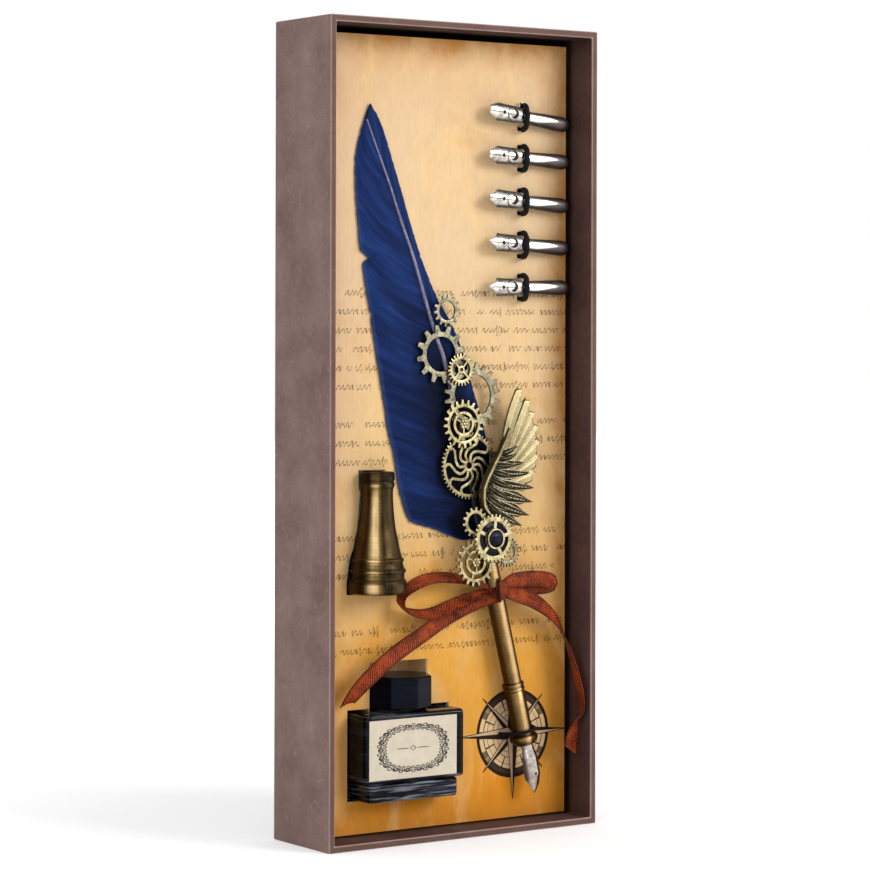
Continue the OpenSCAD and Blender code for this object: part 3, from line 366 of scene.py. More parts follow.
def labelArt():  # cream paper with an oval frame of scrolls and a small lozenge between two rules
    newMaterial("labelPaper", Roughness=0.6, Specular_IOR_Level=0.2)
    flat = place()
    x, y, z = axes(flat)
    across, upward = x * perMetre - labelFrame["x"], z * perMetre - labelFrame["z"]
    p, q = across / labelFrame["halfWidth"], upward / labelFrame["halfHeight"]
    oval = (abs(p) ** labelFrame["square"] + abs(q) ** labelFrame["square"]) ** (1 / labelFrame["square"])
    turn = calc("ARCTAN2", q, p)
    step = 2 * math.pi / labelFrame["scrolls"]
    away = (oval - 1.0) * 8.6
    across, upward, line = abs(across), abs(upward), labelFrame["line"]
    marks = [abs(away - sine(turn * 9.0) * 0.5) < line,
             (upward < line) * (abs(across - 4.6) < 2.6),
             abs(across + upward * 1.3 - 1.2) < 0.3]
    for shift, radius, depth, thick in labelFrame["curls"]:
        slide = calc("WRAP", turn + shift * step, step / 2, -step / 2) * 10.6
        marks.append(abs(hypot(slide, away - depth) - radius) < thick)
    worn = ramp(cloud(flat, 900, 4, 0.7), (0.38, 0.6), (0.5, 0.96))
    paper = ramp(cloud(flat, 160, 5, 0.6), (0.3, (200, 188, 168)), (0.7, (214, 204, 184)))
    return finished(blendColor(highest(*marks) * worn, paper, (40, 34, 34)), cloud(flat, 1500, 3), 0.00003, 0.4)


shadeAcross = (0.823, -0.568)  # the side that a turned piece's painted shade and highlight bands run across to, in X and Y


def turnedBrass(name, tones, low, lean, middle, girth, stops, bands=((0.0, 1.0), (1.0, 1.0))):
    # painted shade and highlight run down the piece over its grain: stops go across its axis, which leans from middle
    # at height low, and bands up it
    newMaterial(name, Metallic=1.0)
    plain = place()
    patch, fine = cloud(plain, 110, 6, 0.65), cloud(plain, 1900, 3, 0.6)
    mixed = cloud(place((1, 1, 0.1), (0, lean, 0)), 300, 5, 0.6, 0.2) * 0.55 + patch * 0.45
    x, y, z = axes(plain)
    axisX = (z - low) * -math.tan(lean) + middle[0]
    aside = ((x - axisX) * shadeAcross[0] + (y - middle[1]) * shadeAcross[1]) / girth(z)
    # painted shade and highlight: darker flanks and a bright streak across the axis, and bands up it
    flank = ramp(aside * 0.5 + 0.5, *stops) * ramp((z - low) * 20.0, *bands)
    level = mixed * 0.33 + flank * 0.46
    base = ramp(level, *zip((0.18, 0.37, 0.6), tones))
    rings = cloud(place((0.02, 0.02, 1), (0, lean, 0)), 2400, 2)
    grime = blendColor(0.5, ramp(rings, (0.3, 0.82), (0.6, 1.0)), ramp(fine, (0.35, 0.7), (0.55, 1.0)), "MULTIPLY")
    return finished(blendColor(0.75, base, grime, "MULTIPLY"), rings + patch + fine, 0.00003, 0.5,
                    rough=ramp(mixed, (0.35, 0.5), (0.6, 0.34)))


gearShade = ((4.7, 172.2, 6.2), (5.9, 152.0, 9.1), (8.9, 136.4, 12.6), (8.0, 115.6, 5.7))  # dark behind the gears


def featherBarbs():  # U runs from the quill to the edge, V along the quill
    newMaterial("featherBarbs", Roughness=0.65, Specular_IOR_Level=0.06)
    u, v = ownUv()
    x, y, z = axes(place())
    lean = highest(v - 0.55, 0.0) * 0.22 + 0.13
    along = u * lean + u * u * 0.02 + v
    barb, clump, wave = (cloud(grid(along * lines, u * wide), 1.0, detail, 0.6)
                         for lines, wide, detail in ((560.0, 1.6, 3), (60.0, 1.2, 4), (13.0, 0.8, 3)))
    both = barb * 0.22 + clump * 0.33 + wave * 0.45
    level = both - ramp(z, (0.118, 0.15), (0.15, 0.1), (0.21, 0.0)) * (1.2 - u * 0.9)
    base = ramp(level, (0.3, (6, 13, 36)), (0.43, (15, 31, 72)), (0.55, (26, 49, 102)), (0.74, (50, 82, 148)))
    shade = [ramp(u, (0.0, 0.6), (0.14, 0.0)),
             ramp(u, (0.0, 1.0), (0.26, 0.95), (0.62, 0.0)) * ramp(z, (0.17, 0.9), (0.2, 0.0))]
    for across, height, radius in gearShade:
        far = hypot(x * perMetre - across, z * perMetre - height)
        shade.append(ramp(far / (radius * 2), (0.44, 0.93), (0.7, 0.0)))
    # painted highlight along the vane's outer edge
    rim = ramp(u, (0.93, 0.0), (1.0, 0.35))
    color = blendColor(highest(*shade), base, (4, 6, 16))
    return finished(blendColor(rim, color, (70, 88, 130)), both + wave * 0.6, 0.0002, 0.7)


def satinWeave(name, dark, mid, light):  # V runs along the ribbon, U across it
    newMaterial(name, Roughness=0.55, Specular_IOR_Level=0.12, Sheen_Weight=0.03, Sheen_Roughness=0.4)
    u, v = ownUv()
    slant = sine(v * 408.0 + u * 27.0) * 0.5 + 0.5
    warp = sine(u * 120.0) * 0.5 + 0.5
    fleck = cloud(place(), 1500, 3, 0.7)
    thread = slant * 0.36 + warp * 0.16 + fleck * 0.9
    drift = cloud(place(), 120, 5, 0.6, 0.4)
    level = drift * 0.55 + thread * 0.45
    base = ramp(level, (0.42, dark), (0.55, mid), (0.7, light))
    edge = ramp(abs(u - 0.5), (0.3, 0.0), (0.5, 0.6))
    return finished(blendColor(edge, base, dark), thread + drift * 0.6, 0.00014, 0.8)


def braided(name, dark, light, turns):  # crossed threads round a cord, by its UV map
    newMaterial(name, Roughness=0.75, Specular_IOR_Level=0.15)
    u, v = ownUv()
    along, around = v * turns, u * 50.27
    strand = sine(along + around) * sine(along - around) * 0.5 + 0.5
    return finished(ramp(strand, (0.2, dark), (0.8, light)), strand, 0.00012, 0.8)


def plainFinish(name, color, other, rough, scale=300.0, depth=0.00002):
    newMaterial(name, Roughness=rough, Specular_IOR_Level=0.3)
    grain = cloud(place(), scale, 5, 0.6)
    return finished(ramp(grain, (0.35, color), (0.65, other)), grain, depth, 0.5)


def standGirth(z):  # the stand's radius at a height, for its painted flank shade
    return ramp((z - 0.0908) / 0.0444, (0.0, 0.011), (0.3, 0.0092), (0.5, 0.0072), (0.8, 0.0059), (1.0, 0.0064))


labelPaper = labelArt()
# the stops paint shade on the stand's flanks and a highlight left of its middle; the bands paint shade and highlights
# on its rings
standBrass = turnedBrass(
    "standBrass", ((36, 29, 18), (106, 84, 50), (206, 176, 126)), 0.0908, 0.0, (-0.0316, -0.0065), standGirth,
    ((0.0, 0.1), (0.1, 0.22), (0.24, 0.3), (0.34, 0.75), (0.42, 1.0), (0.52, 0.92), (0.58, 0.45), (0.65, 0.04),
     (0.78, 0.08), (0.9, 0.3), (1.0, 0.1)),
    ((0.0, 0.6), (0.03, 0.85), (0.07, 0.85), (0.085, 0.45), (0.14, 0.45), (0.158, 1.0), (0.175, 0.5), (0.22, 0.5),
     (0.24, 1.0), (0.27, 0.85), (0.4, 0.95), (0.7, 0.8), (0.76, 0.6), (0.79, 1.0), (0.81, 0.35), (0.88, 0.25)))
# the stops paint a dark left flank and a highlight right of the middle
penBrass = turnedBrass(
    "penBrass", ((58, 42, 18), (100, 76, 40), (196, 162, 112)), 0.0126, math.radians(13.9), (0.0386, -0.0087),
    lambda z: 0.0036,
    ((0.0, 0.1), (0.14, 0.16), (0.4, 0.38), (0.58, 0.55), (0.72, 0.95), (0.82, 0.9), (0.92, 0.4), (1.0, 0.05)))
barbs = featherBarbs()
quillHorn = plainFinish("quillHorn", (104, 98, 124), (146, 138, 160), 0.4, 700)
# painted shadow: the quill's lower part among the gears is near black
quillShadowPaint = plainFinish("quillShadowPaint", (12, 14, 28), (22, 24, 42), 0.5, 700)
rustSatin = satinWeave("rustSatin", (28, 10, 5), (86, 31, 13), (172, 72, 32))
blackBraid = braided("blackBraid", (8, 8, 10), (24, 24, 28), 900.0)
inkLiquid = plainFinish("inkLiquid", (8, 9, 24), (14, 15, 34), 0.08, 60)
linerFoam = plainFinish("linerFoam", (206, 204, 196), (226, 224, 216), 0.8, 900, 0.00006)
print("soft materials ready")


def plumeMetal(name, dark, mid, light, lines, cut, rim, rimAt):  # U across a cast feather, V from its root
    newMaterial(name, Metallic=1.0)
    u, v = ownUv()
    off = abs(u - 0.5)
    barb = sine(v * lines - off * (lines * 0.5)) * 0.5 + 0.5
    vein = ramp(off, (0.02, 1.0), (0.07, 0.0))
    edge = ramp(off, (rimAt, 0.0), (rimAt + 0.05, 1.0))
    wear = cloud(place(), 420, 5, 0.65)
    speck = cloud(place(), 1700, 3, 0.7)
    level = barb * speck * (cut * 1.5) + (0.5 - cut) + (wear - 0.5) * 0.22 + vein * (cut * 0.7)
    # rim paints the edges: shade lines between overlapping feathers when negative, a highlight on the raised outlines
    # when positive
    level = level - ramp(v, (0.1, 0.14), (0.85, 0.0)) + edge * rim
    return finished(ramp(level, (0.16, dark), (0.38, mid), (0.6, light)), barb * 0.5 + vein + edge, 0.0002 * cut, 0.8,
                    rough=ramp(level, (0.2, 0.5), (0.6, 0.26)))


brightBrass = antiqueMetal("brightBrass", (82, 72, 44), (160, 146, 106), (206, 195, 154), 0.3, 0.28)
satinPlume = plumeMetal("satinPlume", (52, 44, 28), (148, 134, 99), (197, 184, 145), 60.0, 0.1, -0.45, 0.4)
engravedPlume = plumeMetal("engravedPlume", (14, 12, 9), (64, 57, 42), (198, 189, 156), 88.0, 0.4, 0.36, 0.37)


def stampedSilver(name, dark, light, width, length, emblem, vent):
    # nib plate with a vent hole, slit, hooked cut and stipple: U across it, V from its tip; the hole, slit and cut are
    # painted dark as shade instead of being cut through
    newMaterial(name, Metallic=1.0)
    u, v = ownUv()
    across, down = (u - 0.5) * width, v * length

    def disc(middle, side, radius):
        return radius - hypot(down - middle, across - side)

    hole = disc(vent[0], 0.0, vent[1]) > 0.0
    slit = (abs(across) < 0.08) * (down < vent[0])
    hook = (disc(11.2, 0.1, 1.75) > 0.0) * (disc(10.0, 0.35, 1.45) < 0.0)
    circle = (abs(disc(10.3, 0.0, 2.3)) < 0.2) * (down < 10.6)
    flank = ramp(abs(across / width), (0.3, 0.0), (0.44, 1.0)) * ramp(v, (0.2, 0.35), (0.3, 1.0))
    marks = highest(hole, slit, highest(hook, circle * 0.85) * emblem, flank * 0.75)
    stipple = cloud(place(), 2600, 2) * ramp(v, (0.8, 0.0), (0.84, emblem))
    haze = ramp(cloud(place(), 500, 4), (0.35, dark), (0.6, light))
    color = blendColor(marks * 0.96, haze, (34, 26, 24))
    return finished(blendColor(stipple * 0.5, color, (120, 116, 112)), stipple - marks, 0.00012, 0.7,
                    rough=marks * 0.5 + 0.14)


def shankMetal(name, light, dark):  # the mesh's own attribute marks a streak beside the nib with a painted highlight, smoother there too
    newMaterial(name, Metallic=1.0)
    paintedHighlight = Flow(add("Attribute", attribute_name="paintedHighlight").outputs["Fac"])
    rub = cloud(place((0.2, 1, 1)), 1500, 3)
    haze = cloud(place(), 260, 4)
    highlighted = blendColor(paintedHighlight, blendColor(haze, dark, (112, 102, 100)), light)
    return finished(blendColor(0.3, highlighted, ramp(rub, (0.3, 0.8), (0.6, 1.0)), "MULTIPLY"), rub, 0.00001, 0.3,
                    rough=paintedHighlight * -0.26 + rub * 0.15 + 0.38)


nibSilver = stampedSilver("nibSilver", (138, 132, 127), (198, 191, 183), 6.2, 15.3, 1.0, (6.2, 0.72))
penSilver = stampedSilver("penSilver", (158, 148, 144), (198, 186, 178), 5.5, 19.5, 0.0, (7.6, 0.45))
gunmetal = shankMetal("shankPlating", (240, 234, 228), (66, 58, 58))


# modelling helpers; sizes from here on are in millimetres unless a line says otherwise
mm = 0.001


def spot(x, y, z):
    return Vector((x, y, z)) * mm


def placed(at, degrees, axis):  # the matrix that turns a piece made at the origin and sets it in its place
    return Matrix.Translation(spot(*at)) @ Matrix.Rotation(math.radians(degrees), 4, axis)


def only(piece):
    if bpy.context.object and bpy.context.object.mode != "OBJECT":
        closeEdit()
    bpy.ops.object.select_all(action="DESELECT")
    piece.select_set(True)
    bpy.context.view_layer.objects.active = piece


def closeEdit():
    bpy.ops.object.mode_set(mode="OBJECT")


def freeze(piece, name):  # place goes into the mesh
    only(piece)
    bpy.ops.object.transform_apply(location=True, rotation=True, scale=True)
    piece.name = piece.data.name = name
    return piece


def pick(piece, test, kind="FACE"):  # opens the piece with what passes the test selected
    only(piece)
    mesh = piece.data
    for group in (mesh.vertices, mesh.edges, mesh.polygons):
        group.foreach_set("select", [False] * len(group))
    if kind == "FACE":
        for face in mesh.polygons:
            face.select = test(face.center / mm, face.normal)
    else:
        for edge in mesh.edges:
            edge.select = test(*(mesh.vertices[i].co / mm for i in edge.vertices))
    scene.tool_settings.mesh_select_mode = (False, kind == "EDGE", kind == "FACE")
    bpy.ops.object.mode_set(mode="EDIT")


def bevelEdges(piece, test, width, segments):
    pick(piece, test, "EDGE")
    bpy.ops.mesh.bevel(offset=width * mm, segments=segments, affect="EDGES", clamp_overlap=False)
    closeEdit()


def tidyMesh(piece, merge=0.002, flat=None):  # joins doubled points and turns faces outward
    only(piece)
    bpy.ops.object.mode_set(mode="EDIT")
    bpy.ops.mesh.select_all(action="SELECT")
    bpy.ops.mesh.remove_doubles(threshold=merge * mm)
    if flat:
        bpy.ops.mesh.dissolve_limited(angle_limit=math.radians(flat))
    bpy.ops.mesh.normals_make_consistent(inside=False)
    closeEdit()
    return piece


def modify(piece, kind, **settings):
    only(piece)
    made = piece.modifiers.new(kind.title(), kind)
    for name, value in settings.items():
        setattr(made, name, value)
    bpy.ops.object.modifier_apply(modifier=made.name)
    return piece


def thicken(piece, thickness, offset=0):
    return modify(piece, "SOLIDIFY", thickness=thickness * mm, offset=offset)


def soften(piece, width, segments=2, angle=32):  # rounds sharp edges, then shades
    modify(piece, "BEVEL", width=width * mm, segments=segments, limit_method="ANGLE",
           angle_limit=math.radians(angle), use_clamp_overlap=False)
    return shade(piece, angle, True)


def shade(piece, angle, weighted=False):
    only(piece)
    bpy.ops.object.shade_smooth_by_angle(angle=math.radians(angle))
    if weighted:
        modify(piece, "WEIGHTED_NORMAL", keep_sharp=True)
    return piece


def coat(finishes):  # CAD nodes that keep their own meshes
    for node, material in finishes.items():
        nodes[node].data.materials.clear()
        nodes[node].data.materials.append(material)


def dress(piece, material, body, slot, *replaced, second=None, test=None):
    piece.data.materials.clear()
    piece.data.materials.append(material)
    if second:
        piece.data.materials.append(second)
        for face in piece.data.polygons:
            face.material_index = int(test(face.center / mm, face.normal))
    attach(piece, body)
    if replaced:
        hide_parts(*replaced)
    return piece


def newPiece(name, mesh):
    made = bpy.data.objects.new(name, mesh)
    scene.collection.objects.link(made)
    mesh.name = name
    return made


def nodeCopy(node, name, flat=None):  # own joined copy of a CAD node
    return tidyMesh(newPiece(name, nodes[node].data.copy()), 0.002, flat)


def ownCopy(piece, name, move):  # a copy with its own mesh, placed by a matrix
    made = newPiece(name, piece.data.copy())
    made.data.transform(move)
    return made


def joined(parts, name):
    only(parts[0])
    for part in parts:
        part.select_set(True)
    bpy.ops.object.join()
    return freeze(bpy.context.object, name)


def between(stations, at):  # the value at a place on straight runs between stations
    for (a, low), (b, high) in zip(stations, stations[1:]):
        if a <= at <= b:
            return low + (high - low) * (at - a) / (b - a)


def curveThrough(points, steps):  # smooth line through points of any number of values
    line = []
    last = len(points) - 1
    for i in range(last):
        a, b, c, d = (points[max(0, min(last, k))] for k in (i - 1, i, i + 1, i + 2))
        for k in range(steps):
            t = k / steps
            line.append([0.5 * (2 * q + (r - p) * t + (2 * p - 5 * q + 4 * r - s) * t * t
                                + (3 * q - p - 3 * r + s) * t ** 3) for p, q, r, s in zip(a, b, c, d)])
    return line + [list(points[last])]


def evenly(points, count):  # the same line with evenly spaced points
    reach = [0.0]
    for a, b in zip(points, points[1:]):
        reach.append(reach[-1] + (Vector(b[:3]) - Vector(a[:3])).length)
    line, i = [], 0
    for k in range(count):
        goal = reach[-1] * k / (count - 1)
        while i < len(points) - 2 and reach[i + 1] < goal:
            i += 1
        t = (goal - reach[i]) / max(reach[i + 1] - reach[i], 1e-9)
        line.append([p + (q - p) * t for p, q in zip(points[i], points[i + 1])])
    return line


def turned(name, outline, angle, at=(0, 0, 0), lean=0.0, steps=72):  # lathe work: radius and height
    piece = newPiece(name, bpy.data.meshes.new(name))
    piece.data.from_pydata([spot(r, 0, z) for r, z in outline], [(i, i + 1) for i in range(len(outline) - 1)], [])
    only(piece)
    bpy.ops.object.mode_set(mode="EDIT")
    bpy.ops.mesh.select_all(action="SELECT")
    bpy.ops.mesh.spin(steps=steps, angle=2 * math.pi, center=(0, 0, 0), axis=(0, 0, 1))
    closeEdit()
    tidyMesh(piece)
    piece.location = spot(*at)
    piece.rotation_euler = (0, math.radians(lean), 0)
    return shade(freeze(piece, name), angle)


def lofted(name, rows, closed=False):  # a sheet through rows of points, with its own UV map
    bpy.ops.mesh.primitive_grid_add(x_subdivisions=len(rows[0]) - 1, y_subdivisions=len(rows) - 1,
                                    size=1, calc_uvs=True)
    piece = bpy.context.object
    piece.data.vertices.foreach_set("co", [v * mm for row in rows for point in row for v in point])
    piece.data.update()
    piece.name = piece.data.name = name
    return tidyMesh(piece, 0.001) if closed else piece


def plate(name, rows, thickness, angle, offset=0, closed=False):
    return shade(thicken(lofted(name, rows, closed), thickness, offset), angle)


def cordMesh(name, path, radius, sides):  # round cord with closed ends, its radius by how far along it is
    rows = [[Vector(path[0])] * (sides + 1)]
    side = None
    last = len(path) - 1
    for i, p in enumerate(path):
        ahead = (Vector(path[min(i + 1, last)]) - Vector(path[max(i - 1, 0)])).normalized()
        side = (side - ahead * side.dot(ahead)).normalized() if side else ahead.orthogonal().normalized()
        up = ahead.cross(side)
        rows.append([Vector(p) + (side * math.cos(a) + up * math.sin(a)) * radius(i / last)
                     for a in (2 * math.pi * k / sides for k in range(sides + 1))])
    rows.append([Vector(path[-1])] * (sides + 1))
    return shade(lofted(name, rows, True), 60)


# tray
tray = {"width": 120, "depth": 38, "height": 300, "wall": 2.5, "floor": 16.74, "edge": 0.6}


def facesFront(at, normal):
    return normal.y < -0.9


def insideTray(at, normal):
    return at.y > -18.4 and abs(at.x) < 57.8 and 2.2 < at.z < 297.8


bpy.ops.mesh.primitive_cube_add(size=1, location=spot(0, 0, tray["height"] / 2),
                                scale=spot(tray["width"], tray["depth"], tray["height"]))
trayWrap = freeze(bpy.context.object, "trayWrap")
pick(trayWrap, facesFront)
bpy.ops.mesh.inset(thickness=tray["wall"] * mm)
bpy.ops.mesh.extrude_region_move(TRANSFORM_OT_translate={"value": spot(0, tray["floor"] + tray["depth"] / 2, 0)})
closeEdit()
soften(trayWrap, tray["edge"], 3)
pick(trayWrap, lambda at, normal: True)
bpy.ops.mesh.subdivide(number_cuts=3)
closeEdit()
dress(trayWrap, wrapOuter, "tray", "wrap", "wrap_paper", "foot_wrap", second=wrapInner, test=insideTray)

coat({"back_panel": greyboard, "left_wall": greyboard, "right_wall": greyboard, "head_wall": greyboard,
      "foot_wall": greyboard, "insert_rails": greyboard, "insert_card": cardStock, "bottle_cradle": cardStock,
      "printed_sheet": parchment})
print("tray and insert ready")

# bottle, label and cap
bottle = {"x": -19.6, "y": -3.0, "neck": 9.2, "capBore": 10.4,
          "rims": ((47.3, 1.5), (22.5, 1.0), (21.7, 0.5), (15.3, 0.8))}  # height and rounding, from the shoulder down


def clearOf(radius, *points):  # edges that lie outside the neck or the cap's bore
    return all(math.hypot(p.x - bottle["x"], p.y - bottle["y"]) > radius for p in points)


bottleGlass = nodeCopy("bottle_glass", "bottleGlass", 1.0)
for height, rounding in bottle["rims"]:
    bevelEdges(bottleGlass, lambda a, b: clearOf(bottle["neck"], a, b) and abs(a.z - height) < 0.01
               and abs(b.z - height) < 0.01, rounding, 5)
shade(bottleGlass, 30, True)
dress(bottleGlass, bottleBlack, "bottle", "black_glass", "bottle_glass")

label = {"width": 38.5, "low": 23.7, "high": 45.5, "middle": -21.3, "front": -15.02}
rows = []
for j in range(25):
    v = j / 24
    rows.append([])
    for i in range(45):
        u = i / 44
        lift = 0.22 * abs(2 * u - 1) ** 6 * (0.4 + 0.6 * v) + 0.05 * noise.noise((u * 3, v * 3, 4))
        rows[-1].append((label["middle"] + label["width"] * (u - 0.5), label["front"] - 0.12 - lift,
                         label["low"] + (label["high"] - label["low"]) * v))
dress(plate("labelSheet", rows, 0.15, 40), labelPaper, "bottle", "label", "bottle_label")

bottleCap = nodeCopy("bottle_cap", "bottleCap", 1.0)
bevelEdges(bottleCap, lambda a, b: clearOf(bottle["capBore"], a, b), 0.7, 4)
shade(bottleCap, 30, True)
dress(bottleCap, capBlack, "bottle_cap", "black_resin", "bottle_cap")
coat({"bottle_ink": inkLiquid, "cap_liner": linerFoam})
print("bottle ready")

# pen stand
stand = {"x": -31.6, "y": -6.5, "z": 90.8, "height": 44.4, "bore": 3.8, "boreDepth": 23.0}
standOutline = [
    (10.2, 0), (10.8, 0.5), (11, 1.6), (11, 3.6), (10.6, 4.9), (10.1, 5.6), (10.05, 7.4), (10.5, 7.9),
    (10.55, 8.8), (10.0, 9.4), (9.5, 11.4), (9.85, 11.9), (9.85, 12.7), (9.2, 13.3), (8.4, 16.2),
    (7.8, 19.6), (6.9, 23.4), (6.3, 28), (5.9, 33), (5.8, 37), (5.95, 38.4), (6.3, 39), (6.4, 40),
    (6.1, 41), (6.4, 41.4), (6.42, 42.6), (6.3, 43.9), (5.9, 44.4)]
standTop = stand["height"]
closing = [(5.2, standTop), (4.1, standTop - 0.2), (stand["bore"], standTop - 0.7),
           (stand["bore"], standTop - stand["boreDepth"]), (0, standTop - stand["boreDepth"] - 0.6)]
outline = [(0, 0.9), (7.5, 0.9), (7.7, 0)] + curveThrough(standOutline, 3) + closing
penStand = turned("penStand", outline, 34, (stand["x"], stand["y"], stand["z"]))
dress(penStand, standBrass, "pen_stand", "aged_brass", "pen_stand")
print("stand ready")

# pen: barrel, ring, ferrule and point
pen = {"x": 38.6, "y": -8.7, "z": 12.6, "lean": -13.9, "barrel": 3.4, "ferrule": 3.8, "ring": 4.15,
       "collar": 5.4, "collarAt": 19.0, "ringAt": 39.9, "barrelAt": 43.3, "top": 96.2}
penLean = math.radians(-pen["lean"])


def onPen(distance, out=0.0, side=0.0):  # a place along the pen from its point, forward by out
    return Vector((pen["x"] - distance * math.sin(penLean) + side * math.cos(penLean), pen["y"] - out,
                   pen["z"] + distance * math.cos(penLean) + side * math.sin(penLean)))


def penPart(name, node, outline):
    piece = turned(name, outline, 40, (pen["x"], pen["y"], pen["z"]), pen["lean"])
    dress(piece, penBrass, "pen", "aged_brass", node)


barrelR, ferruleR, ringR, collarR = pen["barrel"], pen["ferrule"], pen["ring"], pen["collar"]
low, ringAt, barrelAt, top = pen["collarAt"], pen["ringAt"], pen["barrelAt"], pen["top"]
penPart("penBarrel", "pen_barrel", [
    (0, barrelAt - 1), (3.0, barrelAt - 1), (3.0, barrelAt), (barrelR - 0.1, barrelAt), (barrelR, barrelAt + 0.5),
    (barrelR, barrelAt + 6), (barrelR, barrelAt + 20), (barrelR, top - 3), (barrelR, top - 0.6), (barrelR - 0.5, top),
    (1.9, top + 0.1), (1.35, top), (1.35, top - 6), (0, top - 6)])
penPart("penRing", "pen_ring", [
    (2.4, ringAt + 0.02), (ringR - 0.35, ringAt + 0.02), (ringR - 0.05, ringAt + 0.3), (ringR, ringAt + 0.7),
    (ringR - 0.12, ringAt + 1.05), (ringR - 0.34, ringAt + 1.3), (ringR - 0.3, ringAt + 1.6),
    (ringR - 0.02, ringAt + 1.95), (ringR, ringAt + 2.5), (ringR - 0.08, ringAt + 3.0),
    (ringR - 0.45, ringAt + 3.3), (2.4, ringAt + 3.3), (2.4, ringAt + 0.02)])
collar = [(3.44, low), (3.75, low), (4.4, low + 0.6), (5.0, low + 1.3), (collarR - 0.08, low + 1.9),
          (collarR, low + 2.5), (collarR - 0.12, low + 3.1), (collarR - 0.5, low + 3.6), (ferruleR + 0.35, low + 4.1),
          (ferruleR + 0.05, low + 4.6), (ferruleR, low + 5.1)]
penPart("penFerrule", "pen_ferrule", [(0, low + 0.8), (2.85, low + 0.8), (2.85, low + 7.5), (3.44, low + 7.5)]
        + curveThrough(collar, 2) + [(ferruleR, low + 12), (ferruleR, ringAt - 0.5), (ferruleR - 0.2, ringAt - 0.1),
                                     (2.2, ringAt), (2.2, ringAt + 6), (0, ringAt + 6)])

nibStations = [(0, 0.12), (0.5, 0.42), (2.2, 1.2), (4.4, 2.2), (5.8, 2.66), (7.2, 2.76), (9.5, 2.74), (14, 2.66),
               (19.6, 2.5)]
nibRows = []
for k in range(79):
    d = 19.5 * k / 78
    half = between(nibStations, d)
    tuck = 0.5 * max(0.0, 1 - d / 11.0) ** 2 + 0.02 + 1.9 * max(0.0, 1 - d / 7.0)  # the tip settles back
    aside = 0.9 * max(0.0, 1 - d / 11.0) ** 2  # and a little to the left
    swell = 1 + 0.24 * min(1.0, max(0.0, (17.5 - d) / 3.5))  # fuller in front of the ferrule
    nibRows.append([onPen(d, swell * math.sqrt(2.82 ** 2 - t * t) - tuck, swell * t - aside)
                    for t in (half * (2 * i / 18 - 1) for i in range(19))])
dress(plate("penNib", nibRows, 0.32, 50), penSilver, "pen_point", "point_steel", "pen_point")
print("pen ready")

# feather
feather = {"back": -3.42, "front": -3.95, "rows": 190, "columns": 16, "camber": 0.9, "thick": 0.32}
quillLine = [(-35, 264), (-31.2, 254.8), (-25.2, 240.8), (-20.4, 228.1), (-14.4, 213.4), (-9, 197.6),
             (-4.1, 184.1), (-1.2, 177.3), (2.6, 164), (6.2, 150), (9.5, 136), (12.3, 124.5), (14.2, 115.5)]
wideUpper = [(-33.2, 269.7), (-36.5, 261.8), (-39.4, 251.6), (-39.6, 241), (-39, 231.2), (-37.4, 216)]
wideLower = [(-36.6, 211), (-33.6, 196), (-30.4, 178), (-27.2, 161.3), (-25.4, 151), (-23, 142.9),
             (-20.8, 131.6), (-19.2, 124.9), (-16.4, 118), (-13, 115.4), (-5, 113.2), (2, 110.6),
             (8, 108.4), (13.6, 109)]
narrowEdge = [(-33.2, 269.7), (-28.3, 262.3), (-23.5, 249.7), (-18.7, 236), (-13.9, 222.3), (-9.1, 210.5),
              (-3.6, 199.6), (4, 188), (7.9, 180.2), (12.5, 167), (15.6, 158), (18.5, 149.1), (20.6, 141.8),
              (20.8, 133), (19.6, 124), (17.2, 115), (15.4, 109.4)]


def quillWidth(v):
    return 0.3 + 0.9 * min(1.0, v * 1.15)


def vane(name, node, edge, seed, clefts):
    count = feather["rows"]
    stem = evenly([(x, 0, z) for x, z in curveThrough([(-33.2, 269.7)] + quillLine + [(14.8, 109.2)], 6)], count)
    rim = evenly([(x, 0, z) for x, z in edge], count)
    rows = []
    for j in range(count):
        v = j / (count - 1)
        a, b = Vector(stem[j]), Vector(rim[j])
        span = (b - a).length
        fray = 0.35 * noise.noise((seed, j * 0.55, 0)) + 0.3 * noise.noise((seed, j * 0.09, 5))
        for middle, depth in clefts:
            fray -= depth * max(0.0, 1 - abs(v - middle) / 0.006)
        rows.append([])
        for i in range(feather["columns"]):
            u = i / (feather["columns"] - 1)
            p = a.lerp(b, u * (1 + fray * u / max(span, 1.0)))
            ripple = 0.16 * noise.noise((seed + u * 2.5, v * 26 + u * 2.0, 1)) * u
            rise = feather["camber"] * math.sin(math.pi * min(1, u * 1.05)) * min(1.0, span / 12)
            depth = feather["front"] - rise - ripple - 0.55 * quillWidth(v) * (1 - u) ** 2 + 0.35 * u ** 4
            rows[-1].append((p.x, min(depth, feather["back"] - 0.1), p.z))
    dress(plate(name, rows, feather["thick"], 60), barbs, "pen", "feather", node)


wideEdge = (curveThrough(wideUpper, 5) + [[-35.6, 214.6], [-33.9, 213.2], [-35.4, 212.4]]
            + curveThrough(wideLower, 5))
vane("wideVane", "feather_wide_vane", wideEdge, 3, ((0.43, 0.8),))
vane("narrowVane", "feather_narrow_vane", curveThrough(narrowEdge, 5), 11, ((0.35, 0.5), (0.6, 0.6)))
quillPath = [(x, feather["front"] - quillWidth(i / 12) * 0.9, z) for i, (x, z) in enumerate(quillLine)]
quillPath += [tuple(onPen(pen["top"] + 0.6)), tuple(onPen(pen["top"] - 4))]
quill = cordMesh("featherQuill", curveThrough(quillPath, 6), quillWidth, 14)
# the quill below 158 mm takes the painted shadow
dress(quill, quillHorn, "pen", "quill", "feather_quill", second=quillShadowPaint, test=lambda at, normal: at.z < 158)
print("feather ready")

# gear charms
charms = {"bevel": 0.13, "stud": 0.36, "studRing": 8.55, "studs": 34}


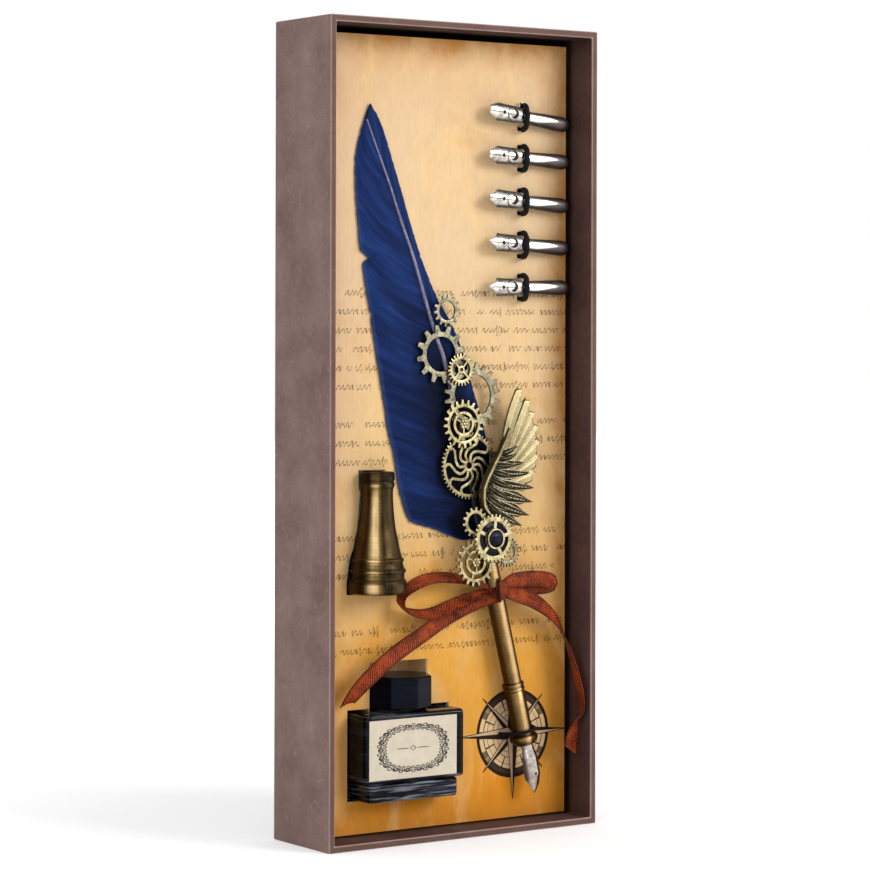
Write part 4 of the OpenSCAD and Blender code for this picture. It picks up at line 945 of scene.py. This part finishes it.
def turnedAway(at, normal):  # the sides and backs of the charms are dark
    return normal.y > -0.4


for number in range(1, 11):
    node = "gear_%d" % number
    gear = nodeCopy(node, "gearCharm%d" % number)
    soften(gear, charms["bevel"], 2, 40)
    face = brightBrass if number in (3, 5, 8) else greyBrass if number in (1, 2, 4, 10) else paleBrass
    dress(gear, face, "pen", "pale_brass", node, second=darkBrass, test=turnedAway)
bezel = nodeCopy("gem_bezel", "gemBezel")
soften(bezel, 0.25, 3, 40)
dress(bezel, brightBrass, "pen", "pale_brass", "gem_bezel", second=darkBrass, test=turnedAway)

gem = {"x": 16.0, "z": 109.3, "base": -13.7, "girdle": -14.75, "radius": 3.08}
bpy.ops.mesh.primitive_cylinder_add(vertices=10, radius=gem["radius"] * mm, depth=(gem["base"] - gem["girdle"]) * mm,
                                    location=spot(gem["x"], (gem["base"] + gem["girdle"]) / 2, gem["z"]),
                                    rotation=(math.radians(90), 0, 0))
blackGem = freeze(bpy.context.object, "blackGem")
for step, size in ((0.35, 0.86), (0.45, 0.74), (0.25, 0.6)):  # crown facets up to a small table
    pick(blackGem, facesFront)
    bpy.ops.mesh.extrude_region_move(TRANSFORM_OT_translate={"value": spot(0, -step, 0)})
    bpy.ops.transform.resize(value=(size, 1, size))
    closeEdit()
bevelEdges(blackGem, lambda a, b: b.y < gem["girdle"] - 0.2 and a.y < -15.2, 0.18, 1)
dress(blackGem, gemBlack, "pen", "black_resin", "black_gem")

gemDish = turned("gemDish", [(0, 0), (6.5, 0), (6.55, 0.1), (4.9, 0.42), (3.1, 0.56), (0, 0.56)], 5, steps=14)
gemDish.data.transform(placed((gem["x"], -12.93, gem["z"]), 90, "X"))
dress(gemDish, gemBlack, "pen", "black_resin")

bpy.ops.mesh.primitive_ico_sphere_add(subdivisions=2, radius=charms["stud"] * mm,
                                      location=spot(gem["x"] + charms["studRing"], -13.66, gem["z"]))
studs = [modify(freeze(bpy.context.object, "ringStud0"), "SMOOTH", iterations=1)]
centre = Matrix.Translation(spot(gem["x"], 0, gem["z"]))
for k in range(1, charms["studs"]):
    turn = Matrix.Rotation(2 * math.pi * k / charms["studs"], 4, "Y")
    studs.append(ownCopy(studs[0], "ringStud%d" % k, centre @ turn @ centre.inverted()))
dress(shade(joined(studs, "ringStuds"), 60), brightBrass, "pen", "pale_brass")


def blossom(name, x, z, front, petals, radius):  # small raised flower at a gear's hub
    parts = []
    for k in range(petals + 1):
        turn = 2 * math.pi * k / petals
        out, size, rise = (radius, 0.52, 0.1) if k < petals else (0.0, 0.42, 0.3)
        bpy.ops.mesh.primitive_uv_sphere_add(
            segments=12, ring_count=8, radius=radius * size * mm, scale=(1, 0.55, 1),
            location=spot(x + out * math.cos(turn), front - rise, z + out * math.sin(turn)))
        parts.append(freeze(bpy.context.object, "petal"))
    dress(shade(joined(parts, name), 60), brightBrass, "pen", "pale_brass")


blossom("upperBlossom", 5.9, 152.0, -8.4, 6, 1.25)
blossom("lowerBlossom", 8.4, 100.7, -12.95, 6, 1.2)
print("gears ready")

# wing charm
wing = {"back": -10.35, "shift": -0.3}
primaries = [((22.2, 143), (28.4, 165.6), 2.6), ((24.4, 142.4), (32.2, 161.6), 2.6),
             ((25.2, 140.6), (34.8, 157.2), 2.5), ((25.8, 138.2), (36.8, 152.2), 2.5),
             ((26.0, 135.6), (37.8, 146.8), 2.5), ((26.0, 133.0), (37.8, 141.2), 2.5),
             ((25.4, 130.4), (36.4, 135.4), 2.4)]  # root, pointed corner of the tip, half width
coverts = [((17.6, 137.0), (31.4, 137.2), 1.7), ((16.2, 133.8), (34.2, 133.2), 1.8),
           ((15.0, 130.6), (36.2, 127.6), 1.9), ((14.2, 127.2), (35.4, 122.4), 1.9),
           ((14.0, 123.9), (33.9, 117.4), 1.9), ((14.8, 120.8), (30.5, 113.6), 1.8)]
littleCoverts = [((20.6, 140.6), (28.4, 143.4), 1.3), ((19.4, 138.6), (28.0, 140.4), 1.3),
                 ((18.0, 136.6), (27.4, 136.4), 1.4), ((16.8, 134.2), (26.6, 132.2), 1.4),
                 ((15.8, 131.4), (26.4, 127.8), 1.4), ((15.0, 128.4), (25.4, 123.6), 1.4),
                 ((14.6, 125.2), (24.2, 119.4), 1.4), ((15.0, 122.2), (22.6, 116.6), 1.3),
                 ((18.2, 138.8), (22.6, 139.6), 0.9), ((16.9, 136.0), (21.4, 135.6), 0.95),
                 ((15.6, 132.8), (20.4, 130.6), 0.95), ((14.6, 129.2), (19.6, 126.0), 0.95),
                 ((14.2, 125.6), (18.8, 121.6), 0.95)]


def plume(name, base, tip, half, back, crown, blunt, slant=0.0, sway=0.25):
    a, b = Vector((base[0], 0, base[1])), Vector((tip[0], 0, tip[1]))
    side = Vector((0, 1, 0)).cross(b - a).normalized()
    if slant:  # the tip given is the long corner on the left
        b += side * half
        a += side * half * 0.5
    rows = []
    for j in range(29):
        v = j / 28
        width = half * (min(1.0, 0.6 + 1.8 * v) if v < 0.5 else 1.0)
        if v > blunt:
            width *= max(0.0, 1 - ((v - blunt) / (1 - blunt)) ** 1.7)
        rows.append([])
        for i in range(13):
            u = i / 12 * 2 - 1
            p = a.lerp(b, v * (1 - slant * (u + 1) / 2)) + side * (width * u + sway * half * math.sin(v * 3.0))
            ridge = 0.16 * max(0.0, 1 - abs(u) * 6) * (1 - v * 0.6)
            rows[-1].append((p.x + wing["shift"], back - crown * (1 - u * u) * (1 - 0.35 * v) - ridge, p.z))
    return thicken(lofted(name, rows), 0.35)


def plumes(name, feathers, back, step, *shape):  # one behind another, each by step
    return [plume("%s%d" % (name, k), a, b, half, wing["back"] - back - step * k, *shape)
            for k, (a, b, half) in enumerate(feathers)]


wingPrimaries = joined(
    plumes("primary", primaries[:1], 0.6, 0, 0.32, 0.955, 0.2, -0.4)
    + plumes("laterPrimary", primaries[1:], 0.53, -0.07, 0.32, 0.955, 0.2, 0.1), "wingPrimaries")
wingCoverts = joined(plumes("covert", coverts, 0.62, 0.05, 0.5, 0.45)
                     + plumes("littleCovert", littleCoverts, 0.95, 0.03, 0.45, 0.4), "wingCoverts")
dress(shade(wingPrimaries, 50), satinPlume, "pen", "pale_brass")
dress(shade(wingCoverts, 50), engravedPlume, "pen", "pale_brass")
barPath = [(24.9, 150.4), (23.6, 147.2), (20.4, 141.2), (16.9, 135.6), (13.5, 129.4), (12.8, 126), (13.2, 121.6),
           (15.3, 118.6), (17.5, 116.6)]
barLine = [(x + wing["shift"], -11.15, z) for x, z in curveThrough(barPath, 5)]
wingBar = cordMesh("wingBar", barLine, lambda t: 0.25 + 1.1 * math.sin(math.pi * min(1, 0.1 + t * 0.75)) ** 0.8, 16)
dress(wingBar, satinPlume, "pen", "pale_brass")
wingPlate = nodeCopy("wing_charm", "wingPlate")
pick(wingPlate, lambda at, normal: True)
bpy.ops.mesh.bisect(plane_co=spot(0, -10.48, 0), plane_no=(0, -1, 0), clear_outer=True, use_fill=True)
closeEdit()
soften(wingPlate, 0.06, 1, 40)
dress(wingPlate, darkBrass, "pen", "pale_brass", "wing_charm")
post = turned("wingPost", [(0, 0), (1.5, 0), (1.6, 0.15), (1.6, 2.4), (1.4, 2.6), (0, 2.6)], 40, steps=40)
post.data.transform(placed((17.2, -10.3, 116.6), 90, "X"))
dress(post, darkBrass, "pen", "pale_brass")
print("wing ready")

# ribbon tied round the barrel: X, Y, Z and the turn of its width from straight forward
ribbon = {"width": 6.0, "thick": 0.42, "wave": 0.3, "across": 10, "steps": 7}
routes = {
    "ribbonLoopLeft": [
        (16, -9.6, 91.4, -35), (12.4, -8.8, 92.6, -35), (7.2, -8.5, 93.9, -35), (1.4, -8.4, 94.9, -35),
        (-4.8, -8.5, 95.4, -35), (-10.8, -8.6, 95, -33), (-15.6, -8.7, 93.6, -26), (-19.4, -8.7, 91.5, -12),
        (-22, -8.7, 89.2, 0), (-22.4, -8.7, 86.8, 6), (-20.6, -8.7, 84.6, 16), (-16.8, -8.8, 83, 26),
        (-12, -9, 82.3, 33), (-6, -9.2, 83, 35), (-1, -9.4, 84.6, 35), (4, -9.6, 86.2, 35),
        (9.5, -9.9, 87.8, 35), (13.2, -10, 88.7, 35), (16.4, -9.9, 89.3, 35)],
    "ribbonTailLeft": [
        (18.6, -12.5, 87.5, 90), (16.2, -11.2, 86.9, 90), (13, -8.7, 85.8, 88), (9, -7.3, 84.2, 86),
        (3.6, -6.8, 82, 86), (-2, -7, 79.6, 88), (-8, -8.7, 77.3, 90), (-15, -10.9, 74.6, 92),
        (-21.3, -12.3, 72, 94), (-27, -13, 69.3, 95), (-32.4, -13.2, 66, 95), (-37.1, -13, 62.4, 92),
        (-40.9, -12.3, 58.9, 88), (-43.5, -11, 55.7, 84), (-44.9, -9.5, 52.9, 80), (-45.4, -8.2, 51, 78)],
    "ribbonLoopRight": [
        (21.2, -12.4, 91.2, 84), (24, -12, 92.2, 84), (27.6, -11.8, 93, 86), (32.6, -11.7, 93.4, 88),
        (38, -11.4, 93.2, 90), (42.2, -10.9, 92.6, 90), (44.6, -10.3, 91.8, 90), (45.6, -9.6, 91.1, 90),
        (44.6, -8.9, 90.4, 90), (41, -8.6, 90, 90), (36, -8.7, 89.8, 90), (30.5, -8.9, 90, 90),
        (26.4, -9.1, 90.2, 90), (23.6, -9.4, 90.3, 90)],
    "ribbonTailRight": [
        (21.6, -13, 89.2, 92), (25.3, -13, 88.3, 92), (29.4, -12.8, 87.2, 90), (34.1, -12, 85.8, 84),
        (38.8, -10.8, 83.7, 74), (43.2, -9.9, 81.1, 62), (47, -9.8, 77.9, 52), (49.7, -10, 74.3, 42),
        (51.4, -10.6, 70.4, 32), (52.6, -11.4, 66.4, 24), (53.5, -12.3, 62.2, 18), (54.3, -13.2, 58, 14),
        (55, -14.1, 53.6, 12), (55.5, -14.9, 49.4, 12), (55.8, -15.2, 45.4, 12), (55.8, -15, 42.2, 18),
        (55.2, -14.5, 40, 36), (54.3, -13.9, 38, 56), (53.6, -13.4, 35.4, 72), (53.1, -13, 32.8, 80),
        (52.8, -12.8, 30.2, 82), (52.6, -12.7, 27.6, 84)],
}


def ribbonRows(line, width, cup, wave, seed, cut=0.0):
    rows = []
    last = len(line) - 1
    for i, (x, y, z, turn) in enumerate(line):
        here = Vector((x, y, z))
        ahead = (Vector(line[min(i + 1, last)][:3]) - Vector(line[max(i - 1, 0)][:3])).normalized()
        front = (Vector((0, -1, 0)) + ahead.y * ahead).normalized()
        side = (math.cos(math.radians(turn)) * front + math.sin(math.radians(turn)) * ahead.cross(front)).normalized()
        face = ahead.cross(side)
        t = i / last
        half = width(t) / 2
        rows.append([])
        for k in range(ribbon["across"] + 1):
            u = 2 * k / ribbon["across"] - 1
            bow = cup(t) * (1 - u * u) + wave * noise.noise((seed + t * 9, u * 1.3, seed))
            bow += 0.12 * math.sin(u * 9 + seed) * max(0.0, 1 - 7 * min(t, 1 - t))
            slip = ahead * (cut * u * max(0.0, (t - 0.94) / 0.06))
            rows[-1].append(here + side * (half * u) + face * bow + slip)
    return rows


def ribbonPiece(name, node, width, cup, cut, seed):
    line = evenly(curveThrough(routes[name], ribbon["steps"]), 110)
    piece = plate(name, ribbonRows(line, width, cup, ribbon["wave"], seed, cut), ribbon["thick"], 60)
    dress(piece, rustSatin, "pen", "ribbon", node)


def gathered(t, near=0.62):  # narrower where it goes into the knot
    return ribbon["width"] * (near + (1 - near) * min(1.0, t * 9))


def loopWidth(t):
    return gathered(min(t, 1 - t))


def tailWidth(t):
    return gathered(t, 0.7)


ribbonPiece("ribbonLoopLeft", "ribbon_loop_left", loopWidth, lambda t: 0.6, 0, 1.7)
ribbonPiece("ribbonLoopRight", "ribbon_loop_right", loopWidth, lambda t: -0.6, 0, 4.2)
ribbonPiece("ribbonTailLeft", "ribbon_tail_left", tailWidth, lambda t: 0.75, 1.2, 7.9)
ribbonPiece("ribbonTailRight", "ribbon_tail_right", tailWidth, lambda t: 0.6 * (1 - t), -1.6, 12.4)

knotLine = curveThrough([(20.7, -12.3, 93.6, 90), (20.2, -13.7, 92.6, 90), (20.0, -14.6, 91, 90),
                         (20.1, -14.7, 89, 90), (20.3, -14.2, 87.2, 90), (20.9, -12.6, 85.9, 90)], 6)
knotRows = ribbonRows(knotLine, lambda t: 3.4 + 1.5 * math.sin(math.pi * t), lambda t: 0.55, 0.5, 2.2)
ribbonKnot = thicken(lofted("ribbonKnot", knotRows), 0.9)
modify(ribbonKnot, "SUBSURF", levels=1, render_levels=1)
shade(ribbonKnot, 60)
dress(ribbonKnot, rustSatin, "pen", "ribbon", "ribbon_knot")

wrapRows = []
for j in range(9):
    s = 75.7 + 5.8 * j / 8
    wrapRows.append([])
    for i in range(49):
        turn = 2 * math.pi * i / 48
        crease = 0.14 * noise.noise((math.cos(turn) * 1.5, math.sin(turn) * 1.5, j * 0.9))
        bulge = pen["barrel"] + 0.42 + 0.22 * math.sin(math.pi * j / 8) + crease
        wrapRows[-1].append(onPen(s + 0.5 * math.sin(turn * 2), math.cos(turn) * bulge, math.sin(turn) * bulge))
ribbonWrap = plate("ribbonWrap", wrapRows, 0.4, 60, -1, True)
dress(ribbonWrap, rustSatin, "pen", "ribbon", "ribbon_wrap")
print("ribbon ready")

# elastic loops and the pen's tie
nibRow = {"end": 55.7, "y": -6.1, "length": 37.5, "loopIn": 20.7, "loop": 4.2,
          "places": ((264.8, 7.0, 1.8), (250.7, 3.4, 1.5), (234.0, 4.0, 1.15), (217.9, 3.4, 0.55), (203.0, 0.2, 0.5))}
elasticCord = {"radius": 1.07, "back": -0.1, "reach": 7.3, "wide": 4.75, "slant": 1.5}

loopX = nibRow["end"] - nibRow["loopIn"]
loopPath = []  # one cord: out through the sheet, over a nib, back in, and on to the next
for z, lean, tip in nibRow["places"]:
    z += nibRow["loopIn"] * math.tan(math.radians(lean))
    loopPath += [(0.0, elasticCord["back"], z + 4.9), (elasticCord["slant"], -1.6, z + 4.3)]
    for k in range(13):
        turn = math.radians(15 * k)
        swell = 0.62 * math.sin(turn * 2) ** 2
        loopPath.append((elasticCord["slant"] * (1 - 2.1 * math.sin(turn)) + 0.12 * math.sin(z + k * 1.9),
                         -3.0 - elasticCord["reach"] * math.sin(turn),
                         z + (elasticCord["wide"] - 0.3 + swell) * math.cos(turn)))
    loopPath += [(elasticCord["slant"], -1.6, z - 4.3), (0.0, elasticCord["back"], z - 4.9)]
loopPath = [(loopX + x, y, z) for x, y, z in loopPath]
nibElastic = cordMesh("nibElastic", curveThrough(loopPath, 3), lambda t: elasticCord["radius"], 14)
dress(nibElastic, blackBraid, "insert", "elastic", "nib_elastic")

tie = {"at": 24.4, "radius": 0.6, "arch": 4.7, "sheet": -5.7, "bend": -8.7}
tieRun = [(-3.2, tie["bend"]), (-5.8, tie["bend"]), (-6.4, tie["bend"] + 0.3), (-6.6, tie["bend"] + 0.9),
          (-6.6, tie["sheet"] + 0.4)]
tieRun += [(-tie["arch"] * math.cos(math.pi * k / 10), tie["arch"] * math.sin(math.pi * k / 10)) for k in range(11)]
tieRun += [(-x, out) for x, out in reversed(tieRun[:5])]
tiePath = curveThrough([onPen(tie["at"], out, side) for side, out in tieRun], 4)
penTie = cordMesh("penTie", tiePath, lambda t: tie["radius"], 12)
dress(penTie, blackBraid, "insert", "elastic", "pen_tie")

crimpTop = nibRow["places"][0][0] + nibRow["loopIn"] * math.tan(math.radians(7)) + nibRow["loop"]
crimp = turned("elasticCrimp", [(1.02, 0), (1.4, 0), (1.55, 0.2), (1.5, 0.9), (1.35, 1.1), (1.5, 1.3), (1.55, 2.0),
                                (1.4, 2.2), (1.02, 2.2), (1.02, 0)], 40, steps=28)
crimp.data.transform(placed((loopX, -3.0, crimpTop), 90, "X"))
dress(crimp, nickel, "insert", "nickel", "elastic_crimp")
print("elastics ready")

# spare nibs
shankOutline = [(0, 0), (0.8, 0), (1.15, 0.2), (1.25, 0.6), (1.6, 0.95), (2.2, 1.35), (2.65, 2.1), (2.88, 3.3),
                (2.9, 4.8), (2.82, 8), (2.68, 12), (2.52, 16), (2.38, 19), (2.25, 21.6), (2.12, 22.7), (2.05, 23.3)]
shankLine = curveThrough(shankOutline, 3) + [(1.4, 23.3), (1.4, 18.4), (0, 18.4)]
toTheLeft = placed((0, 0, 0), -90, "Y")
firstShank = turned("shank", shankLine, 45, steps=56)
firstShank.data.transform(toTheLeft)
paintedHighlight = firstShank.data.attributes.new("paintedHighlight", "FLOAT", "POINT")
for i, point in enumerate(firstShank.data.vertices):  # painted highlight: a long pointed streak on the upper front
    x, y, z = point.co / mm
    reach = (-x - 6.5) / 10.0
    width = 2.0 * min(1.0, max(0.0, reach)) ** 0.8
    off = abs(math.atan2(z, -y) * 2.6 - 0.35)
    paintedHighlight.data[i].value = max(0.0, min(1.0, (width - off) / 0.55)) if y < 0 else 0.0


def nibPlate(name, tip):
    stations = [(0, tip * 0.85), (0.3, tip), (1.3, tip + 0.3), (4.2, 3.18), (4.8, 3.16), (6.6, 3.05),
                (9, 3.0), (11.7, 2.95), (12.5, 2.8), (13.3, 2.6), (15.4, 2.45)]
    rows = []
    for k in range(60):
        d = 15.3 * k / 59
        half = between(stations, d)
        dip = 0.5 * max(0.0, 1 - d / 5.0) ** 2
        rows.append([(-(nibRow["length"] + 1.1 - d), 0.72 - math.sqrt(3.65 ** 2 - t * t) + dip, t)
                     for t in (half * (2 * i / 16 - 1) for i in range(17))])
    piece = thicken(lofted(name, rows), 0.34, -1)
    pick(piece, lambda a, b: False, "EDGE")
    bpy.ops.mesh.edges_select_sharp(sharpness=math.radians(60))
    bpy.ops.mesh.bevel(offset=0.08 * mm, segments=2, affect="EDGES", clamp_overlap=True)
    closeEdit()
    return shade(piece, 45)


collarRing = turned("collarRing", [(1.3, 22.6), (2.2, 22.6), (2.36, 22.8), (2.4, 23.4), (2.3, 23.7), (2.42, 24.0),
                                   (2.42, 25.4), (2.3, 25.7), (1.3, 25.7), (1.3, 22.6)], 45, steps=44)
collarRing.data.transform(toTheLeft)
for number, (z, lean, tip) in enumerate(nibRow["places"], 1):
    move = placed((nibRow["end"], nibRow["y"], z), lean, "Y")
    body = "spare_nib_%d" % number
    shank = ownCopy(firstShank, "nibShank%d" % number, move)
    dress(shank, gunmetal, body, "gunmetal", "spare_shank_%d" % number)
    stamping = nibPlate("nibPlate%d" % number, tip)
    stamping.data.transform(move)
    dress(stamping, nibSilver, body, "nickel", "spare_nib_%d" % number)
    ring = ownCopy(collarRing, "nibCollar%d" % number, move)
    dress(ring, nickel, body, "nickel")
for piece in (firstShank, collarRing):
    bpy.data.objects.remove(piece)
print("spare nibs ready")

# folded paper in the bottle's well and the moulded card pocket behind the stand
well = {"left": -32.4, "right": -6.8, "top": 65.4, "front": -2.75, "back": 9.42, "bottom": 45.5}


def creasedSheet(name, corners, across, down, seed):  # flat paper between four corners, faintly rippled
    a, b, c, d = (Vector(corner) for corner in corners)
    normal = (b - a).cross(d - a).normalized()

    def at(i, j):
        crease = normal * 0.22 * noise.noise((i * 0.31 + seed, j * 0.37, seed))
        return a.lerp(b, i / across).lerp(d.lerp(c, i / across), j / down) + crease

    return lofted(name, [[at(i, j) for i in range(across + 1)] for j in range(down + 1)])


left, right, top, front, back, bottom = (well[side] for side in ("left", "right", "top", "front", "back", "bottom"))
wellSheets = [
    ("wellRoof", ((left, front, top), (right, front, top), (right, back, top), (left, back, top)), 24, 12),
    ("wellBack", ((left, back, top), (right, back, top), (right, back, bottom), (left, back, bottom)), 24, 20),
    ("wellLeft", ((left, front, top), (left, back, top), (left, back, bottom), (left, front, bottom)), 12, 20),
    ("wellRight", ((right, front, top), (right, back, top), (right, back, bottom), (right, front, bottom)), 12, 20)]
wellFold = joined([creasedSheet(*sheet, seed) for seed, sheet in enumerate(wellSheets, 1)], "wellFold")
shade(thicken(tidyMesh(wellFold, 0.3), 0.3), 40)
dress(wellFold, foldPaper, "insert", "parchment")

pocketGirth = ((0, 11), (3.6, 11), (12, 9.9), (17, 8.3), (24, 6.9), (33, 6.0), (40, 6.6), (46, 6.7))
pocketRows = []
for j in range(37):
    high = 1.2 + 43.6 * j / 36
    girth = 0.75 + between(pocketGirth, high)
    opening = math.asin(3.7 / girth)
    pocketRows.append([(stand["x"] + girth * math.cos(turn), stand["y"] + girth * math.sin(turn), stand["z"] + high)
                       for turn in (math.pi - opening - (math.pi - 2 * opening) * i / 28 for i in range(29))])
standPocket = plate("standPocket", pocketRows, 0.4, 50)
dress(standPocket, cardStock, "insert", "parchment")
print("insert details ready")

# floor and backdrop
room = {"floorSize": 6.0, "floorTone": 0.9, "ambient": 0.46, "near": 0.3}

bpy.ops.mesh.primitive_plane_add(size=room["floorSize"], location=(0, 0, 0))
floor = freeze(bpy.context.object, "floor")
floor.data.materials.append(newMaterial("floorPaint", Roughness=0.9, Specular_IOR_Level=0.1))
wire((room["floorTone"],) * 3 + (1,), "Base Color")
x, y, z = axes(place())
clear = ramp(hypot(x, y) / 2.0, (0.06, room["near"]), (0.35, 1.0))
wire((1, 1, 1, 1), "Emission Color")
wire(seenDirectly() * clear, "Emission Strength")

world = scene.world = bpy.data.worlds.new("studio")
world.use_nodes = True
graph.update(tree=world.node_tree, shader=world.node_tree.nodes["Background"])
wire((1, 1, 1, 1), "Color")
wire(seenDirectly() * (1.0 - room["ambient"]) + room["ambient"], "Strength")

scene.view_settings.view_transform = "Standard"
